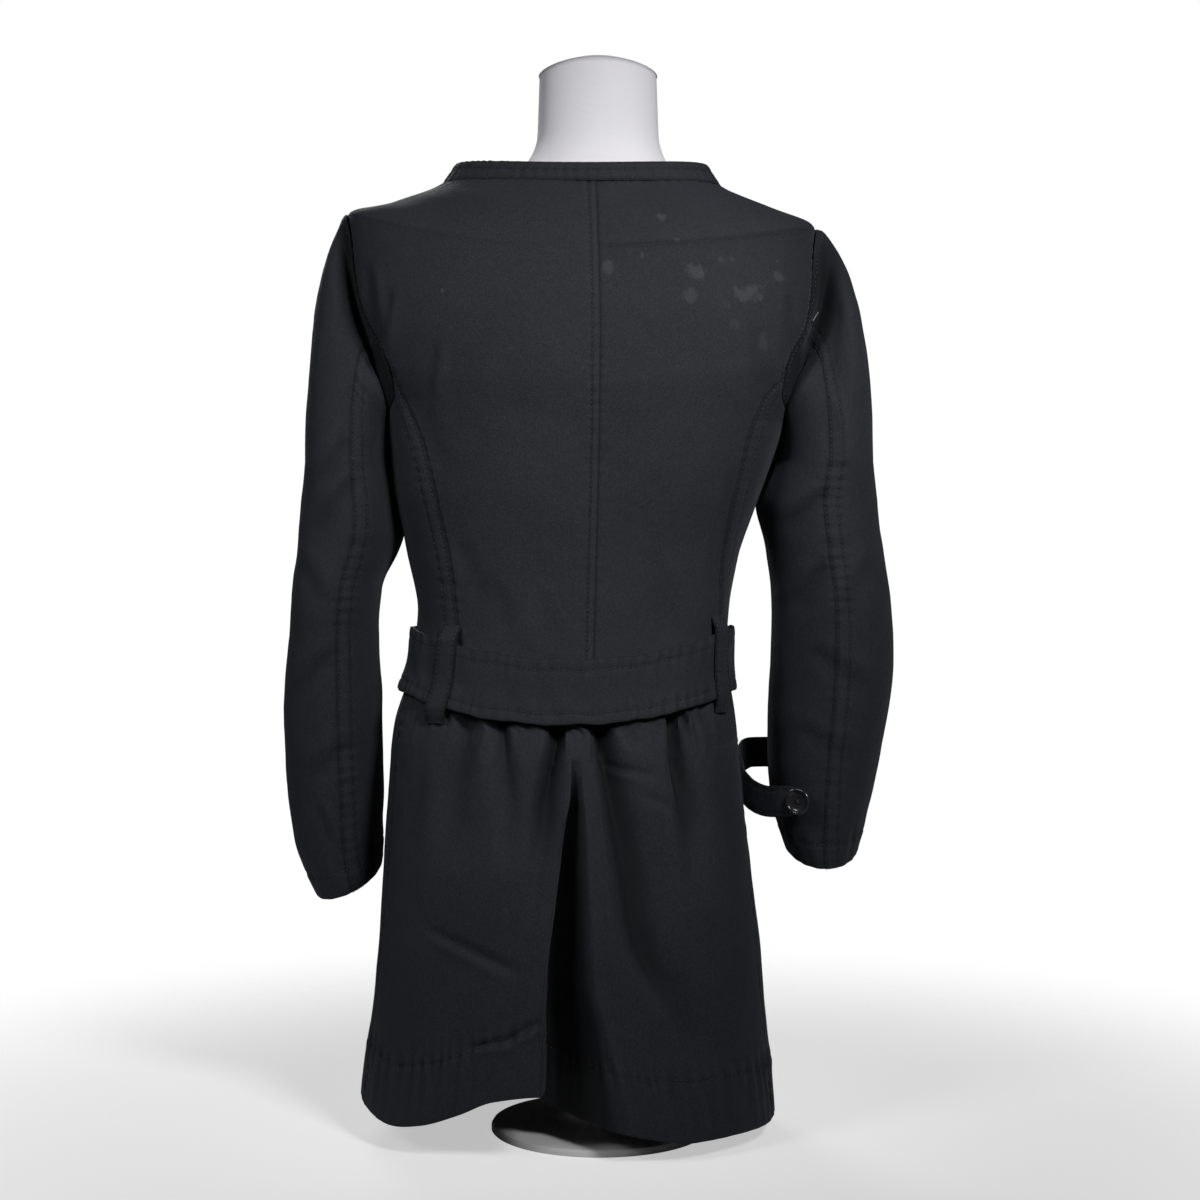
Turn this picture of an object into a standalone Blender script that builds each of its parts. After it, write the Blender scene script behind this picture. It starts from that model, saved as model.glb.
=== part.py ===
"""A belted winter coat on a limbless dress form with a short stand.

Metres, +Z up. The coat's front faces -Y and the wearer's left is +X. The origin is on the floor, under the
middle of the stand. The coat is described by level rings from the neckline to the hem. Every panel, belt and
loop is a stretch of that one surface between two seams, and every sleeve is a tube that starts at the armhole.
"""

import math
from collections import namedtuple

import bpy
import numpy as np

# Cloth and seams
CLOTH = 0.0012
SEAM_GAP = 0.0003
PANEL_TRIM = 0.0004
BAND_TRIM = 0.0006
SLEEVE_TRIM = 0.0017
LAP = 0.028
LAP_RAMP = 0.05
LAP_LIFT = 0.0030
SLEEVE_START = 0.0016
SLEEVE_GAP = 0.0030

# Belt, loops, straps and buttons. The belt's lap and its rise are turns round the waist, in radians.
BELT_WIDTH = 0.055
BELT_CLOTH = 0.0018
BELT_OUT = 0.0066
BELT_LAP = 0.607
BELT_LAP_RISE = (0.35, 0.05)
BELT_LAP_LIFT = 0.0026
LOOP_WIDTH = 0.018
LOOP_HEIGHT = 0.082
LOOP_END = 0.0026
LOOP_OUT = 0.0092
LOOP_AT = {"left": 0.1275, "right": -0.0975}
STRAP_WIDTH = 0.027
STRAP_OUT = 0.0035
LEFT_STRAP_TURNS = (318, 225)
LEFT_STRAP_ROWS = (5.45, 5.70, 5.95)
FRONT_BUTTONS = (0.715, 0.600, 0.485, 0.285)
BUTTON_RADIUS = 0.0115
BUTTON_THICK = 0.0034
BUTTON_CLEAR = 0.0012

# Stand
POLE_RADIUS = 0.014
BASE_RADIUS = 0.095
BASE_THICK = 0.008
HUB_RADIUS = 0.026
HUB_HEIGHT = 0.034
CENTRE_X = 0.0

Ring = namedtuple("Ring", "x_left x_right y_back y_front z_left z_right z_back z_front square")

# The coat's outer surface, one ring a row. "square" under 1 flattens the back and front of a ring.
COAT_RINGS = (
    Ring(0.127, -0.095, 0.060, -0.082, 0.843, 0.842, 0.833, 0.784, 1.00),
    Ring(0.139, -0.107, 0.068, -0.088, 0.826, 0.824, 0.816, 0.768, 1.00),
    Ring(0.183, -0.150, 0.085, -0.101, 0.808, 0.803, 0.794, 0.750, 0.94),
    Ring(0.220, -0.188, 0.097, -0.112, 0.797, 0.784, 0.758, 0.714, 0.87),
    Ring(0.216, -0.190, 0.104, -0.122, 0.727, 0.722, 0.702, 0.668, 0.83),
    Ring(0.203, -0.182, 0.105, -0.126, 0.667, 0.666, 0.654, 0.632, 0.84),
    Ring(0.187, -0.164, 0.101, -0.124, 0.617, 0.617, 0.612, 0.597, 0.88),
    Ring(0.180, -0.143, 0.096, -0.117, 0.562, 0.562, 0.558, 0.548, 0.90),
    Ring(0.168, -0.122, 0.089, -0.106, 0.502, 0.502, 0.497, 0.494, 0.92),
    Ring(0.159, -0.1125, 0.086, -0.100, 0.452, 0.452, 0.438, 0.448, 0.92),
    Ring(0.1625, -0.1105, 0.088, -0.100, 0.411, 0.412, 0.385, 0.407, 0.92),
    Ring(0.180, -0.1190, 0.100, -0.110, 0.352, 0.352, 0.327, 0.352, 0.92),
    Ring(0.187, -0.1280, 0.112, -0.122, 0.262, 0.262, 0.242, 0.262, 0.92),
    Ring(0.196, -0.1420, 0.122, -0.133, 0.142, 0.138, 0.142, 0.132, 0.94),
    Ring(0.209, -0.1520, 0.132, -0.142, 0.032, 0.014, 0.038, 0.018, 0.96),
)
BAND_ROW = 1
SHOULDER_ROW = 3
UNDERARM_ROW = 6
WAIST_ROW = 10
HEM_ROW = 14

# How far down the armhole, and how far its back and front edges stand from the side, in degrees.
ArmholeRow = namedtuple("ArmholeRow", "share back front")
ARMHOLE = (
    ArmholeRow(0.000, 0, 0),
    ArmholeRow(0.040, 8, 9),
    ArmholeRow(0.150, 15, 17),
    ArmholeRow(0.310, 19, 24),
    ArmholeRow(0.500, 24, 30),
    ArmholeRow(0.690, 31, 33),
    ArmholeRow(0.850, 28, 28),
    ArmholeRow(0.960, 15, 15),
    ArmholeRow(1.000, 0, 0),
)
ARMHOLE_STEPS = 8
PRINCESS_STEP = 5
PRINCESS_INSET = 0.02

# Seams on the back, as the distance from the middle at each height, going down.
SeamPoint = namedtuple("SeamPoint", "z x")
CENTRE_SEAM = (
    SeamPoint(0.842, 0.004), SeamPoint(0.682, 0.000), SeamPoint(0.582, 0.001), SeamPoint(0.462, 0.004),
    SeamPoint(0.362, 0.006),
)
PRINCESS_LEFT = (
    SeamPoint(0.667, 0.182), SeamPoint(0.627, 0.1642), SeamPoint(0.592, 0.1500), SeamPoint(0.531, 0.1359),
    SeamPoint(0.477, 0.1254), SeamPoint(0.382, 0.117),
)
PRINCESS_RIGHT = (
    SeamPoint(0.662, -0.168), SeamPoint(0.623, -0.1342), SeamPoint(0.563, -0.1170), SeamPoint(0.4985, -0.1060),
    SeamPoint(0.466, -0.1036), SeamPoint(0.382, -0.100),
)
SKIRT_SIDE_LEFT = (
    SeamPoint(0.412, 0.168), SeamPoint(0.352, 0.173), SeamPoint(0.182, 0.187), SeamPoint(0.012, 0.206),
)
SKIRT_SIDE_RIGHT = (
    SeamPoint(0.412, -0.117), SeamPoint(0.352, -0.1195), SeamPoint(0.182, -0.133), SeamPoint(0.012, -0.149),
)

# Folds of the skirt, each down a line of points. A lean over 1 makes the flank on the wearer's right wider.
FoldPoint = namedtuple("FoldPoint", "z x width depth")
Fold = namedtuple("Fold", "lean line")
FOLDS = (
    Fold(1.0, (
        FoldPoint(0.378, 0.1105, 0.014, 0.000), FoldPoint(0.360, 0.1120, 0.018, 0.009),
        FoldPoint(0.300, 0.1220, 0.028, 0.006), FoldPoint(0.235, 0.1260, 0.036, 0.000),
    )),
    Fold(1.0, (
        FoldPoint(0.380, 0.0840, 0.010, 0.000), FoldPoint(0.360, 0.0835, 0.012, 0.010),
        FoldPoint(0.310, 0.0795, 0.018, 0.007), FoldPoint(0.240, 0.0765, 0.026, 0.000),
    )),
    Fold(1.2, (
        FoldPoint(0.376, 0.0350, 0.010, 0.000), FoldPoint(0.358, 0.0355, 0.012, 0.017),
        FoldPoint(0.300, 0.0445, 0.017, 0.013), FoldPoint(0.245, 0.0490, 0.024, 0.006),
        FoldPoint(0.190, 0.0560, 0.030, 0.000),
    )),
    Fold(2.0, (
        FoldPoint(0.376, 0.0030, 0.012, 0.000), FoldPoint(0.358, 0.0015, 0.013, 0.017),
        FoldPoint(0.300, -0.0105, 0.022, 0.014), FoldPoint(0.231, -0.0248, 0.034, 0.012),
        FoldPoint(0.195, -0.0297, 0.033, 0.011), FoldPoint(0.165, -0.0396, 0.028, 0.010),
        FoldPoint(0.135, -0.0578, 0.026, 0.008), FoldPoint(0.106, -0.0743, 0.024, 0.006),
        FoldPoint(0.070, -0.0900, 0.024, 0.000),
    )),
    Fold(1.8, (
        FoldPoint(0.378, -0.0615, 0.010, 0.000), FoldPoint(0.358, -0.0630, 0.012, 0.016),
        FoldPoint(0.320, -0.0675, 0.018, 0.013), FoldPoint(0.285, -0.0743, 0.026, 0.010),
        FoldPoint(0.248, -0.0792, 0.028, 0.005), FoldPoint(0.205, -0.0850, 0.030, 0.000),
    )),
)
LEFT_FOLDS = (0, 1, 2)
RIGHT_FOLDS = (3, 4)

# The deep fold at the middle of the back opens downwards between two edges.
Pleat = namedtuple("Pleat", "z x_left x_right depth")
PLEAT = (
    Pleat(0.3300, 0.0235, 0.0150, 0.000),
    Pleat(0.3000, 0.0242, 0.0130, 0.012),
    Pleat(0.2805, 0.0275, 0.0110, 0.024),
    Pleat(0.2145, 0.0368, 0.0070, 0.042),
    Pleat(0.1485, 0.0440, 0.0030, 0.052),
    Pleat(0.0990, 0.0460, -0.0100, 0.056),
    Pleat(0.0220, 0.0480, -0.0280, 0.060),
)
# Across it, as shares of its width from the left edge: it drops steeply, then rises slowly to the right edge.
PLEAT_DROP = (-0.03, 0.07)
PLEAT_RISE = (1.0, 0.42)
PLEAT_COLUMNS = (-0.18, -0.03, 0.01, 0.05, 0.14, 0.42, 0.60, 0.80, 1.0)

# Front folds of the skirt, plainer, as angle in degrees and depth at the hem.
FRONT_FOLDS = ((-38, 0.010), (-62, 0.008), (-118, 0.008), (-142, 0.010))
FRONT_FOLD_WIDTH = 8

# Hem height over the floor against the distance from the middle, for the back half.
HemPoint = namedtuple("HemPoint", "x z")
HEM_BACK = (
    HemPoint(-0.150, 0.014), HemPoint(-0.112, 0.016), HemPoint(-0.079, 0.016), HemPoint(-0.027, 0.026),
    HemPoint(0.002, 0.032), HemPoint(0.017, 0.036), HemPoint(0.033, 0.046), HemPoint(0.048, 0.059),
    HemPoint(0.086, 0.054), HemPoint(0.118, 0.040), HemPoint(0.149, 0.028), HemPoint(0.176, 0.023),
    HemPoint(0.209, 0.032),
)

# Sleeves, as rings down the tube. drop_out and drop_back are how far its outer and back edges hang lower.
SleeveRing = namedtuple("SleeveRing", "x_outer x_inner y_back y_front z drop_out drop_back")
SLEEVES = {
    "left": (
        SleeveRing(0.2580, 0.1842, 0.056, -0.066, 0.582, 0.000, 0.000),
        SleeveRing(0.2640, 0.1762, 0.052, -0.066, 0.523, 0.000, 0.000),
        SleeveRing(0.2700, 0.1930, 0.048, -0.066, 0.471, 0.000, 0.002),
        SleeveRing(0.2728, 0.1965, 0.043, -0.069, 0.4357, 0.000, 0.004),
        SleeveRing(0.2800, 0.1935, 0.032, -0.076, 0.3655, 0.000, 0.008),
        SleeveRing(0.2785, 0.1935, 0.022, -0.084, 0.313, 0.003, 0.010),
        SleeveRing(0.2735, 0.1950, 0.010, -0.092, 0.260, 0.007, 0.012),
        SleeveRing(0.2560, 0.1960, -0.002, -0.097, 0.214, 0.011, 0.012),
    ),
    "right": (
        SleeveRing(-0.2400, -0.1540, 0.056, -0.066, 0.582, 0.000, 0.000),
        SleeveRing(-0.2440, -0.1412, 0.052, -0.066, 0.542, 0.000, 0.000),
        SleeveRing(-0.2490, -0.1465, 0.048, -0.066, 0.502, 0.000, 0.002),
        SleeveRing(-0.2570, -0.1510, 0.043, -0.069, 0.453, 0.000, 0.004),
        SleeveRing(-0.2590, -0.1500, 0.034, -0.074, 0.400, 0.000, 0.006),
        SleeveRing(-0.2530, -0.1490, 0.024, -0.082, 0.348, 0.000, 0.010),
        SleeveRing(-0.2440, -0.1520, 0.012, -0.092, 0.292, 0.000, 0.014),
        SleeveRing(-0.2320, -0.1650, 0.000, -0.100, 0.244, 0.000, 0.018),
    ),
}
SIDE_SIGN = {"left": 1, "right": -1}
CAP_OUT = {"left": 0.008, "right": 0.020}
TWIST = {"left": math.radians(14), "right": math.radians(3)}
CAP_DROP = 0.005
CAP_HANG = 0.75
CAP_STEPS = (0.0, 0.12, 0.27, 0.45, 0.70)
ARM_FOLD_DEPTH = 0.013
ARM_FOLD_AT = 0.30
ARM_FOLD_WIDTH = 0.16
TUCK = 0.008
TUCK_TURN = math.radians(202)
TUCK_WIDTH = math.radians(26)
SLEEVE_BACK_SEAM = 4
SLEEVE_FRONT_SEAM = 10

# The middle line of the right cuff's strap, from the sleeve out and back to its end under the button.
StrapPoint = namedtuple("StrapPoint", "x y z half_width")
RIGHT_STRAP = (
    StrapPoint(-0.1650, -0.0785, 0.322, 1.0),
    StrapPoint(-0.1500, -0.0780, 0.323, 1.0),
    StrapPoint(-0.1375, -0.0735, 0.323, 1.0),
    StrapPoint(-0.1290, -0.0660, 0.320, 1.0),
    StrapPoint(-0.1245, -0.0520, 0.313, 1.0),
    StrapPoint(-0.1262, -0.0350, 0.299, 1.0),
    StrapPoint(-0.1340, -0.0180, 0.289, 1.0),
    StrapPoint(-0.1470, -0.0030, 0.285, 1.0),
    StrapPoint(-0.1620, 0.0090, 0.286, 1.0),
    StrapPoint(-0.1720, 0.0160, 0.287, 0.8),
    StrapPoint(-0.1770, 0.0190, 0.288, 0.45),
)

# The dress form, in rings like the coat's and inside them.
FORM_RINGS = (
    Ring(0.053, -0.0495, 0.044, -0.054, 0.921, 0.921, 0.927, 0.912, 1.00),
    Ring(0.054, -0.0505, 0.046, -0.056, 0.892, 0.892, 0.892, 0.882, 1.00),
    Ring(0.055, -0.0515, 0.048, -0.058, 0.867, 0.867, 0.862, 0.847, 1.00),
    Ring(0.066, -0.060, 0.053, -0.064, 0.842, 0.842, 0.837, 0.812, 1.00),
    Ring(0.110, -0.090, 0.060, -0.074, 0.825, 0.821, 0.810, 0.777, 0.98),
    Ring(0.165, -0.138, 0.076, -0.090, 0.809, 0.800, 0.780, 0.742, 0.95),
    Ring(0.190, -0.166, 0.086, -0.100, 0.782, 0.772, 0.742, 0.702, 0.92),
    Ring(0.188, -0.165, 0.091, -0.108, 0.722, 0.717, 0.692, 0.662, 0.88),
    Ring(0.177, -0.155, 0.092, -0.112, 0.667, 0.666, 0.654, 0.632, 0.90),
    Ring(0.168, -0.145, 0.089, -0.110, 0.617, 0.617, 0.612, 0.597, 0.94),
    Ring(0.160, -0.125, 0.084, -0.104, 0.562, 0.562, 0.558, 0.548, 0.96),
    Ring(0.151, -0.106, 0.077, -0.093, 0.502, 0.502, 0.497, 0.494, 0.96),
    Ring(0.145, -0.098, 0.074, -0.087, 0.452, 0.452, 0.442, 0.448, 0.96),
    Ring(0.148, -0.097, 0.072, -0.087, 0.411, 0.412, 0.397, 0.407, 0.96),
    Ring(0.158, -0.103, 0.070, -0.092, 0.362, 0.362, 0.352, 0.357, 0.96),
    Ring(0.156, -0.101, 0.068, -0.092, 0.327, 0.327, 0.325, 0.327, 0.98),
    Ring(0.140, -0.088, 0.060, -0.080, 0.312, 0.312, 0.312, 0.312, 1.00),
)
FORM_COLUMNS = 28
NECK_DOME = 0.010

COLOURS = {
    "cloth": ((0.022, 0.024, 0.029, 1), 0.78, 0.0),
    "button": ((0.012, 0.012, 0.014, 1), 0.25, 0.0),
    "jersey": ((0.78, 0.77, 0.81, 1), 0.85, 0.0),
    "stand": ((0.72, 0.72, 0.74, 1), 0.40, 0.0),
}


# ---------------------------------------------------------------- curves and rings

def through(knots, values, where):
    """A smooth curve through the values at the knots that never swings past them."""
    knots, values = np.asarray(knots, float), np.asarray(values, float)
    where = np.clip(where, knots[0], knots[-1])
    step = np.diff(knots)
    slope = np.diff(values) / step
    product = slope[:-1] * slope[1:]
    total = np.where(product > 0, slope[:-1] + slope[1:], 1)
    tangent = np.concatenate([slope[:1], np.where(product > 0, 2 * product / total, 0), slope[-1:]])
    i = np.clip(np.searchsorted(knots, where) - 1, 0, len(step) - 1)
    t = (where - knots[i]) / step[i]
    return (
        (1 + 2 * t) * (1 - t) ** 2 * values[i]
        + t * (1 - t) ** 2 * step[i] * tangent[i]
        + t * t * (3 - 2 * t) * values[i + 1]
        + t * t * (t - 1) * step[i] * tangent[i + 1]
    )


def smooth_step(low, high, value):
    t = np.clip((value - low) / (high - low), 0, 1)
    return t * t * (3 - 2 * t)


def column(rows, name):
    return [getattr(row, name) for row in rows]


def ring_at(rings, row):
    """Every size of the ring at a fractional row."""
    index = range(len(rings))
    return Ring(*(through(index, column(rings, name), row) for name in Ring._fields))


def on_ring(ring, angle):
    """The point at an angle on a ring: 0 is the wearer's left side, 90 degrees the middle of the back."""
    across, along = np.cos(angle), np.sin(angle)
    reach_x = np.sign(across) * np.abs(across) ** ring.square
    reach_y = np.abs(along) ** ring.square
    x = (ring.x_left + ring.x_right) / 2 + (ring.x_left - ring.x_right) / 2 * reach_x
    y = reach_y * np.where(along > 0, ring.y_back, ring.y_front)
    side_z = np.where(across > 0, ring.z_left, ring.z_right)
    middle_z = np.where(along > 0, ring.z_back, ring.z_front)
    return np.stack([x, y, side_z * across**2 + middle_z * along**2], axis=-1)


def pleat_at(z):
    """The centre pleat's left edge, right edge and depth at a height."""
    rising = PLEAT[::-1]
    return [through(column(rising, "z"), column(rising, name), z) for name in ("x_left", "x_right", "depth")]


def fold_at(fold, z):
    """A fold's middle, width and depth at a height."""
    rising = fold.line[::-1]
    return [through(column(rising, "z"), column(rising, name), z) for name in ("x", "width", "depth")]


def fold_depth(x, z):
    """How far the skirt's back is pushed in by its folds at a place."""
    depth = np.zeros(np.broadcast(x, z).shape)
    for fold in FOLDS:
        middle, width, deep = fold_at(fold, z)
        flank = 0.5 * width * np.where(x > middle, fold.lean**-0.5, fold.lean**0.5)
        depth = depth + deep * np.exp(-(((x - middle) / flank) ** 2))
    left, right, deep = pleat_at(z)
    share = (left - x) / (left - right)
    return depth + deep * smooth_step(*PLEAT_DROP, share) * smooth_step(*PLEAT_RISE, share)


def coat(angle, row, out=0.0, folded=True):
    """A point of the coat's surface, moved out from it by a distance, with or without the skirt's folds."""
    angle, row = np.broadcast_arrays(np.asarray(angle, float), np.asarray(row, float))
    point = on_ring(ring_at(COAT_RINGS, row), angle)
    # The hem's height varies round the coat, and the rows above it follow.
    is_back = np.sin(angle) > 0
    hem = through(column(HEM_BACK, "x"), column(HEM_BACK, "z"), point[..., 0])
    own = on_ring(COAT_RINGS[HEM_ROW], angle)[..., 2]
    share = smooth_step(WAIST_ROW + 1, HEM_ROW, row)
    point[..., 2] += np.where(is_back, share * (hem - own), 0)
    # Folds push in towards the middle.
    inward = np.stack([-np.cos(angle), -np.sin(angle)], axis=-1)
    degrees = np.degrees(np.arctan2(np.sin(angle), np.cos(angle)))
    depth = np.where(is_back, fold_depth(point[..., 0], point[..., 2]), 0)
    depth = depth * smooth_step(WAIST_ROW, WAIST_ROW + 0.4, row)
    for middle, deep in FRONT_FOLDS:
        shape = np.exp(-(((degrees - middle) / FRONT_FOLD_WIDTH) ** 2))
        depth = depth + deep * shape * smooth_step(WAIST_ROW, HEM_ROW, row)
    if folded:
        point[..., :2] += inward * depth[..., None]
    if np.ndim(out) or out:
        point = point + outward(angle, row, folded) * np.asarray(out)[..., None]
    return point


def outward(angle, row, folded=True):
    """The coat's outward direction at a place."""
    small = 1e-3
    around = coat(angle + small, row, 0, folded) - coat(angle - small, row, 0, folded)
    low, high = np.minimum(row + small, HEM_ROW), np.maximum(row - small, 0)
    down = coat(angle, low, 0, folded) - coat(angle, high, 0, folded)
    normal = np.cross(down, around)
    return normal / np.linalg.norm(normal, axis=-1, keepdims=True)


def angle_at(x, row):
    """The angle on the back where a row passes a distance from the middle."""
    ring = ring_at(COAT_RINGS, row)
    share = (x - (ring.x_left + ring.x_right) / 2) / ((ring.x_left - ring.x_right) / 2)
    share = np.clip(share, -1, 1)
    return np.arccos(np.sign(share) * np.abs(share) ** (1 / ring.square))


def seam_angle(seam, row):
    """The angle where a seam of the back crosses a row."""
    ordered = sorted(seam)
    angle = angle_at(seam[0].x, row)
    for _ in range(12):
        height = on_ring(ring_at(COAT_RINGS, row), angle)[..., 2]
        angle = angle_at(through(column(ordered, "z"), column(ordered, "x"), height), row)
    return angle


def row_at_height(angle, height):
    """The row where the coat passes a height at an angle."""
    low = np.full(np.broadcast(angle, height).shape, float(SHOULDER_ROW))
    high = np.full_like(low, HEM_ROW)
    for _ in range(40):
        middle = (low + high) / 2
        is_above = coat(angle, middle, 0, False)[..., 2] > height
        low = np.where(is_above, middle, low)
        high = np.where(is_above, high, middle)
    return (low + high) / 2


# ---------------------------------------------------------------- solids from grids

def trimmed(grid, gap=PANEL_TRIM):
    """The grid with its four edges drawn in, so that inner edges stay a seam gap apart where a seam bends."""
    grid = grid.copy()
    for _ in range(2):
        for near, next_in in ((0, 1), (-1, -2)):
            pull = grid[next_in] - grid[near]
            grid[near] += pull / np.linalg.norm(pull, axis=-1, keepdims=True) * gap
        grid = grid.swapaxes(0, 1)
    return grid


def wall(name, grid, thick=CLOTH, material="cloth"):
    """A cloth wall whose outer face is the grid: rows down, columns towards the wearer's left."""
    rows, columns = grid.shape[:2]
    faces = [
        (r * columns + c, r * columns + c + 1, (r + 1) * columns + c + 1, (r + 1) * columns + c)
        for r in range(rows - 1)
        for c in range(columns - 1)
    ]
    obj = add_mesh(name, grid.reshape(-1, 3), faces, material)
    solid = obj.modifiers.new("Wall", "SOLIDIFY")
    solid.thickness = thick
    solid.offset = -1
    # An even offset would throw long points off the sharp edges of the skirt's deep fold.
    solid.use_even_offset = name != "skirt_back"
    return obj


def add_mesh(name, points, faces, material):
    mesh = bpy.data.meshes.new(name)
    mesh.from_pydata([tuple(map(float, p)) for p in points], [], faces)
    mesh.shade_smooth()
    mesh.set_sharp_from_angle(angle=math.radians(50))
    return add_object(name, mesh, material)


def add_object(name, mesh, material):
    obj = bpy.data.objects.new(name, mesh)
    bpy.data.collections["belted_winter_coat"].objects.link(obj)
    finish = bpy.data.materials.new(name)
    finish.use_nodes = True
    colour, roughness, metallic = COLOURS[material]
    shader = finish.node_tree.nodes["Principled BSDF"]
    shader.inputs["Base Color"].default_value = colour
    shader.inputs["Roughness"].default_value = roughness
    shader.inputs["Metallic"].default_value = metallic
    finish.diffuse_color = colour
    mesh.materials.append(finish)
    return obj


def between(first, last, columns):
    """Columns spread evenly from one edge's angles to the other's, row by row."""
    share = np.linspace(0, 1, columns)
    return first[:, None] + (last - first)[:, None] * share


# ---------------------------------------------------------------- upper body

def armhole_share():
    """How far down the armhole each of its steps lies: closer together at its top and bottom."""
    step = np.arange(ARMHOLE_STEPS + 1)
    return (1 - np.cos(np.pi * step / ARMHOLE_STEPS)) / 2


def armhole_angle(share, part):
    return np.radians(np.interp(share, column(ARMHOLE, "share"), column(ARMHOLE, part)))


def armhole_row(share):
    return SHOULDER_ROW + share * (UNDERARM_ROW - SHOULDER_ROW)


def to_side(angle, side):
    """An angle counted from the wearer's own side, for either side."""
    return angle if side == "left" else np.pi - angle


def upper_rows():
    """Rows of every upper panel: below the band, the armhole's steps, and down to the waist."""
    shoulder = np.linspace(BAND_ROW, SHOULDER_ROW, 4)[:-1]
    waist = np.linspace(UNDERARM_ROW, WAIST_ROW, 6)[1:]
    return np.concatenate([shoulder, armhole_row(armhole_share()), waist])


def side_edge(part, rows):
    """The angle of a panel's outer edge from the side: the armhole's edge, and 0 above and below it."""
    share = np.clip((rows - SHOULDER_ROW) / (UNDERARM_ROW - SHOULDER_ROW), 0, 1)
    return armhole_angle(share, part)


def princess_edge(side, rows):
    """The princess seam's angle from its own side, kept just inside the armhole at its top."""
    seam = PRINCESS_LEFT if side == "left" else PRINCESS_RIGHT
    angle = seam_angle(seam, rows)
    angle = angle if side == "left" else np.pi - angle
    return np.maximum(angle, side_edge("back", rows) + PRINCESS_INSET)


def build_backs():
    rows = upper_rows()
    top_row = armhole_row(armhole_share()[PRINCESS_STEP])
    middle = seam_angle(CENTRE_SEAM, rows)
    for side in ("left", "right"):
        princess = princess_edge(side, rows)
        outer = np.where(rows < top_row - 1e-6, side_edge("back", rows), princess)
        outer = to_side(outer, side)
        first, last = (middle, outer) if side == "left" else (outer, middle)
        wall("back_" + side, trimmed(coat(between(first, last, 9), rows[:, None])))
        low = rows[rows > top_row - 1e-6]
        inner = to_side(princess[rows > top_row - 1e-6], side)
        outer = to_side(side_edge("back", low), side)
        first, last = (inner, outer) if side == "left" else (outer, inner)
        wall("side_back_" + side, trimmed(coat(between(first, last, 5), low[:, None])))


def front_edge(side, rows):
    """The angle of a front's free edge: past the middle by the lap."""
    ring = ring_at(COAT_RINGS, rows)
    turn = LAP / ((ring.x_left - ring.x_right) / 2)
    return -np.pi / 2 + (turn if side == "right" else -turn)


def lap_lift(angle, row, side):
    """How far the right front stands out over the left one near the middle."""
    if side == "left":
        return np.zeros(np.broadcast(angle, row).shape)
    ring = ring_at(COAT_RINGS, row)
    past = (angle + np.pi / 2) * (ring.x_left - ring.x_right) / 2
    return LAP_LIFT * smooth_step(-LAP - LAP_RAMP, -LAP - 0.004, past)


def build_front(name, side, rows, outer):
    edge = front_edge(side, rows)
    first, last = (outer, edge) if side == "left" else (edge, outer - 2 * np.pi)
    angles = between(first, last, 11)
    wall(name, trimmed(coat(angles, rows[:, None], lap_lift(angles, rows[:, None], side))))


def build_fronts():
    rows = upper_rows()
    for side in ("left", "right"):
        outer = -side_edge("front", rows)
        outer = outer if side == "left" else np.pi - outer
        build_front("front_" + side, side, rows, outer)


def build_neck_band():
    """One strip round the neckline, from the right front's edge round the back to the left front's edge."""
    rows = np.array([0.0, BAND_ROW])
    start = 2 * np.pi + front_edge("right", rows)
    end = front_edge("left", rows)
    angles = between(start, end, 45)
    lift = np.where(angles > np.pi, lap_lift(angles - 2 * np.pi, rows[:, None], "right"), 0)
    wall("neck_band", trimmed(coat(angles, rows[:, None], lift), BAND_TRIM))


# ---------------------------------------------------------------- skirt

def skirt_rows():
    return np.concatenate([[WAIST_ROW], np.linspace(WAIST_ROW + 0.45, HEM_ROW, 9)])


def build_skirt_back():
    """Its columns run along the fold lines, closer together across the deep centre fold."""
    rows = skirt_rows()
    side_left, side_right = seam_angle(SKIRT_SIDE_LEFT, rows), seam_angle(SKIRT_SIDE_RIGHT, rows)
    height = coat(np.full(len(rows), np.pi / 2), rows)[:, 2]
    pins = [(side_left, 4)]
    pins += [(angle_at(fold_at(FOLDS[fold], height)[0], rows), 3) for fold in LEFT_FOLDS]
    left, right, _ = pleat_at(height)
    pins += [(angle_at(left + (right - left) * share, rows), 1) for share in PLEAT_COLUMNS[:-1]]
    pins += [(angle_at(left + (right - left) * PLEAT_COLUMNS[-1], rows), 2)]
    pins += [(angle_at(fold_at(FOLDS[fold], height)[0], rows), 4) for fold in RIGHT_FOLDS]
    pins += [(side_right, 0)]
    columns = []
    for (first, count), (last, _) in zip(pins, pins[1:]):
        columns += [first + (last - first) * step / count for step in range(count)]
    columns.append(side_right)
    angles = np.stack(columns, axis=1)[:, ::-1]
    wall("skirt_back", trimmed(coat(angles, rows[:, None])))


def build_skirt_fronts():
    rows = skirt_rows()
    build_front("skirt_front_left", "left", rows, seam_angle(SKIRT_SIDE_LEFT, rows))
    build_front("skirt_front_right", "right", rows, seam_angle(SKIRT_SIDE_RIGHT, rows))


# ---------------------------------------------------------------- belt and loops

def build_belt():
    """One strip round the waist, its right end lapped over its left at the front."""
    half = BELT_WIDTH / 2
    start, end = 1.5 * np.pi + BELT_LAP / 2, -np.pi / 2 - BELT_LAP / 2
    angles = np.linspace(start, end, 49)
    middle = coat(angles, WAIST_ROW)[:, 2]
    low, high = (start - BELT_LAP - before for before in BELT_LAP_RISE)
    lift = BELT_OUT + BELT_LAP_LIFT * smooth_step(low, high, angles)
    strips = [coat(angles, row_at_height(angles, middle + rise), lift, False) for rise in (half, 0, -half)]
    wall("belt", np.stack(strips), BELT_CLOTH)


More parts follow.
